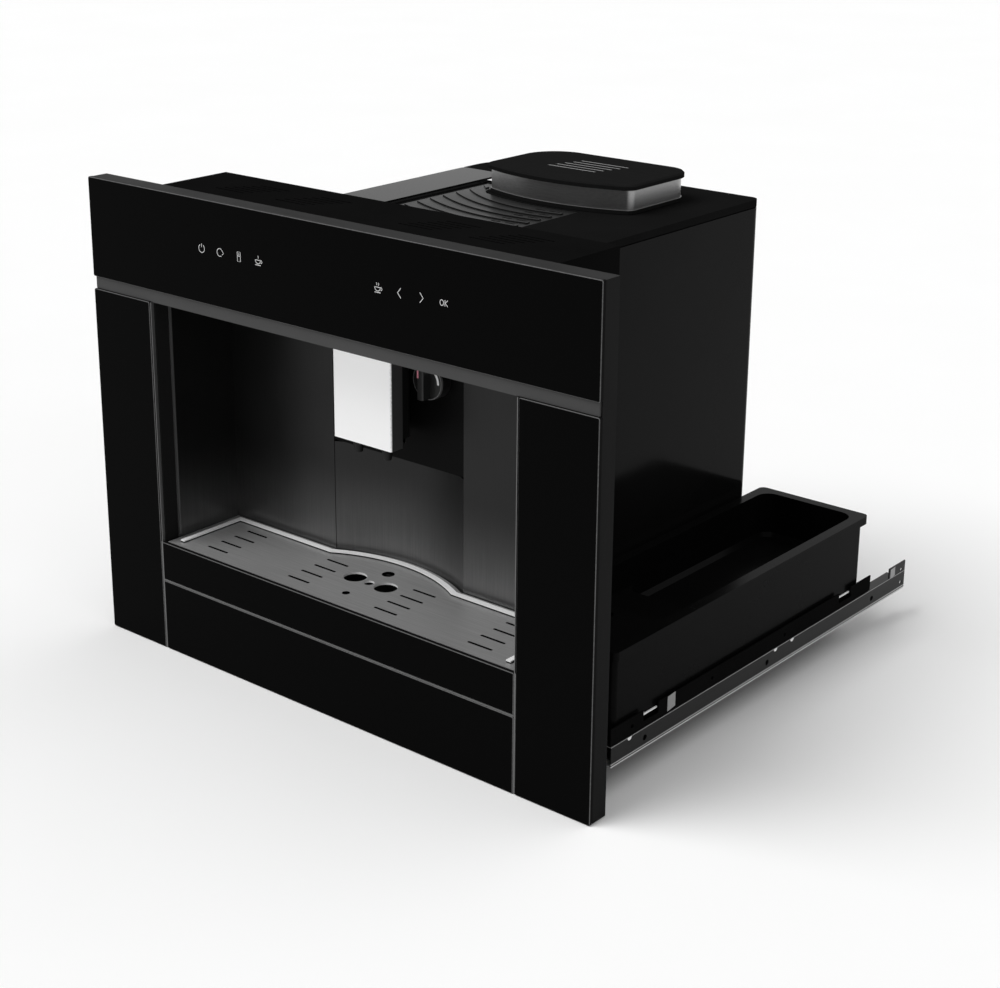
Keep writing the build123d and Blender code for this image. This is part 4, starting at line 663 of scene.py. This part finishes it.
def knob_marks(materials):
    """Rim line, a painted highlight along the grip's top edge drawn as an arc, a painted glint
    and a drop on the disc, and the pointer on the grip.
    """
    low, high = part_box("steam_knob")
    x, z = (low[0] + high[0]) / 2, (low[2] + high[2]) / 2
    disc = on_front(low[1] + KNOB_DISC_DEPTH - FACE_GAP)
    rim = stroke(arc(0, 0, RIM_RADIUS, start=0, end=360, steps=48), width=0.7)
    # painted highlight: the bright line of the grip's top edge, drawn as an arc on the disc
    scale = stroke(arc(0, 0, radius=12.6, start=88, end=-4), width=2.3)
    # painted glint near the rim
    glint_mark = stroke(arc(0, 0, radius=14.6, start=40, end=56, steps=4), width=1.8)
    drop = stroke(arc(*DROP_PLACE, radius=1.5, start=0, end=360, steps=12), width=0.9)
    marks = (
        ("knob_rim", rim, "print_grey"), ("knob_painted_highlight", scale, "print_bright"),
        ("knob_blob", glint_mark, "print_bright"), ("knob_drop", drop, "print_white"),
    )
    for name, quads, tone in marks:
        print_piece(name, moved(quads, x, z), disc, "knob", materials[tone])
    print_piece("knob_pointer", moved([POINTER], x, z), on_front(low[1] - FACE_GAP), "knob",
                materials["print_pink"])


# ---- painted glints: bright strips in the grooves of the bean lid's cap; y counts from the glass ----
GROOVES = 5
GROOVE_FIRST = (18.0, 325.0)
GROOVE_STEP = (3.0, 9.0)
CAP_GLINT_STRIP = oblong(-27.5, 0.1, 27.5, 1.1)
CAP_GLINT_DROP = 0.5 * MM
CAP_GLINT_DEPTH = 0.4 * MM


def cap_painted_glints(materials):
    """One painted glint, a bright strip along the far side of each groove."""
    floor = on_top(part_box("hopper_lid")[1][2] - CAP_GLINT_DROP)
    strips = []
    for row in range(GROOVES):
        x = (GROOVE_FIRST[0] + GROOVE_STEP[0] * row) * MM
        y = (GROOVE_FIRST[1] + GROOVE_STEP[1] * row) * MM + GLASS_FRONT
        strips += moved([CAP_GLINT_STRIP], x, y)
    print_piece("cap_painted_glints", strips, floor, "bean_lid", materials["latch_steel"], CAP_GLINT_DEPTH)


# ---- screw heads and latches of the rails, and painted glints of the ball cages; y counts from the glass ----
SCREW_PLACES = (75.5, 303.5, 332.3)
SCREW_RADIUS = 2.9
SCREW_SINK = 0.4
LATCH_ON_CARRIER = ((131, 47), (142.5, 48.5), (142.5, 62), (131, 61))
LATCH_ON_RAIL = ((518, 45), (527, 46), (527, 55.4), (518, 54.5))
CAGE_GLINT = oblong(0, 9.4, 22, 10.8)
CAGE_GLINTS = (96, 418)
CAGE_GLINT_INSET = 3.0 * MM
CAGE_GLINT_DEPTH = 1.2 * MM
CARRIER_FOOT = 46.0 * MM


def rail_details(materials):
    """Half-hidden screw heads, bright latches and painted glints of the ball cages seen through
    the carrier's notches, the same on both sides.
    """
    for side, way in (("right", 1), ("left", -1)):
        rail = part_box("rail_cabinet_" + side)
        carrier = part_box("carrier_" + side)
        outer = 1 if way > 0 else 0
        rail_face = on_side(rail[outer][0] + way * FACE_GAP, way)
        carrier_face = on_side(carrier[outer][0] + way * FACE_GAP, way)
        glint_face = on_side(carrier[outer][0] - way * CAGE_GLINT_INSET, way)
        for index, y in enumerate(SCREW_PLACES):
            head = arc(y, -SCREW_SINK, SCREW_RADIUS, start=180, end=360, steps=14)
            print_piece(f"rail_screw_{side}_{index}",
                        moved([head], GLASS_FRONT, rail[0][2] + RAIL_HEIGHT), rail_face,
                        "cabinet_rails", materials["print_bright"])
        print_piece("latch_front_" + side, moved([LATCH_ON_CARRIER], GLASS_FRONT, 0),
                    carrier_face, "machine", materials["latch_steel"])
        print_piece("latch_back_" + side, moved([LATCH_ON_RAIL], GLASS_FRONT, 0), rail_face,
                    "cabinet_rails", materials["latch_steel"])
        # painted glints: bright bars behind the carrier's notches where the ball cages shine
        # through
        for index, y in enumerate(CAGE_GLINTS):
            cage_glint_bar = moved([CAGE_GLINT], GLASS_FRONT + y * MM, CARRIER_FOOT)
            print_piece(f"cage_glint_{side}_{index}", cage_glint_bar, glint_face, "machine",
                        materials["print_bright"], CAGE_GLINT_DEPTH)


# ---------------------------------------------------------------- floor, lamps and camera
def make_floor():
    half = FLOOR_SIZE / 2
    mesh = bpy.data.meshes.new("floor")
    corners = [(x, y, -FLOOR_DROP) for x, y in oblong(-half, -half, half, half)]
    mesh.from_pydata(corners, [], [(0, 1, 2, 3)])
    mesh.materials.append(floor_paint("floor_paint"))
    floor = new_object("floor", mesh)


def soft_sun(name, strength, height, way, spread):
    """A wide sun that shines down from the side that way points to."""
    lamp = bpy.data.lights.new(name, "SUN")
    lamp.energy = strength
    lamp.angle = math.radians(spread)
    flat = Vector(way).normalized() * math.cos(math.radians(height))
    place = Vector((flat.x, flat.y, math.sin(math.radians(height))))
    sun = new_object(name, lamp)
    sun.location = place * SUN_DISTANCE
    sun.rotation_euler = (-place).to_track_quat("-Z", "Y").to_euler()


def make_light():
    """The suns, and a world that is white where it is seen or mirrored and dim as a lamp."""
    world = bpy.data.worlds.new("studio")
    bpy.context.scene.world = world
    world.use_nodes = True
    tree = world.node_tree
    rays = add(tree, "ShaderNodeLightPath").outputs
    seen = rays["Is Camera Ray"]
    for kind in ("Is Glossy Ray", "Is Transmission Ray"):
        seen = combine(tree, "MAXIMUM", seen, rays[kind])
    fill(tree, tree.nodes["Background"], Color=(1, 1, 1, 1),
         Strength=remap(tree, seen, WORLD_GREY, 1, start=0, end=1))
    for name, light in SUNS.items():
        soft_sun(name, **light)


def make_camera():
    data = bpy.data.cameras.new("camera")
    data.lens = LENS
    data.sensor_width = SENSOR_WIDTH
    data.shift_x = SHIFT_X
    data.shift_y = SHIFT_Y
    data.clip_end = VIEW_END
    camera = new_object("camera", data)
    camera.location = CAMERA_PLACE
    camera.rotation_euler = (math.radians(90 - CAMERA_DIP), 0, math.radians(CAMERA_YAW))
    bpy.context.scene.camera = camera


# ---------------------------------------------------------------- build
materials = make_materials()
dress_nodes(materials)
fascia_icons(materials)
knob_marks(materials)
cap_painted_glints(materials)
rail_details(materials)
make_floor()
make_light()
make_camera()
bpy.context.scene.view_settings.view_transform = "Standard"
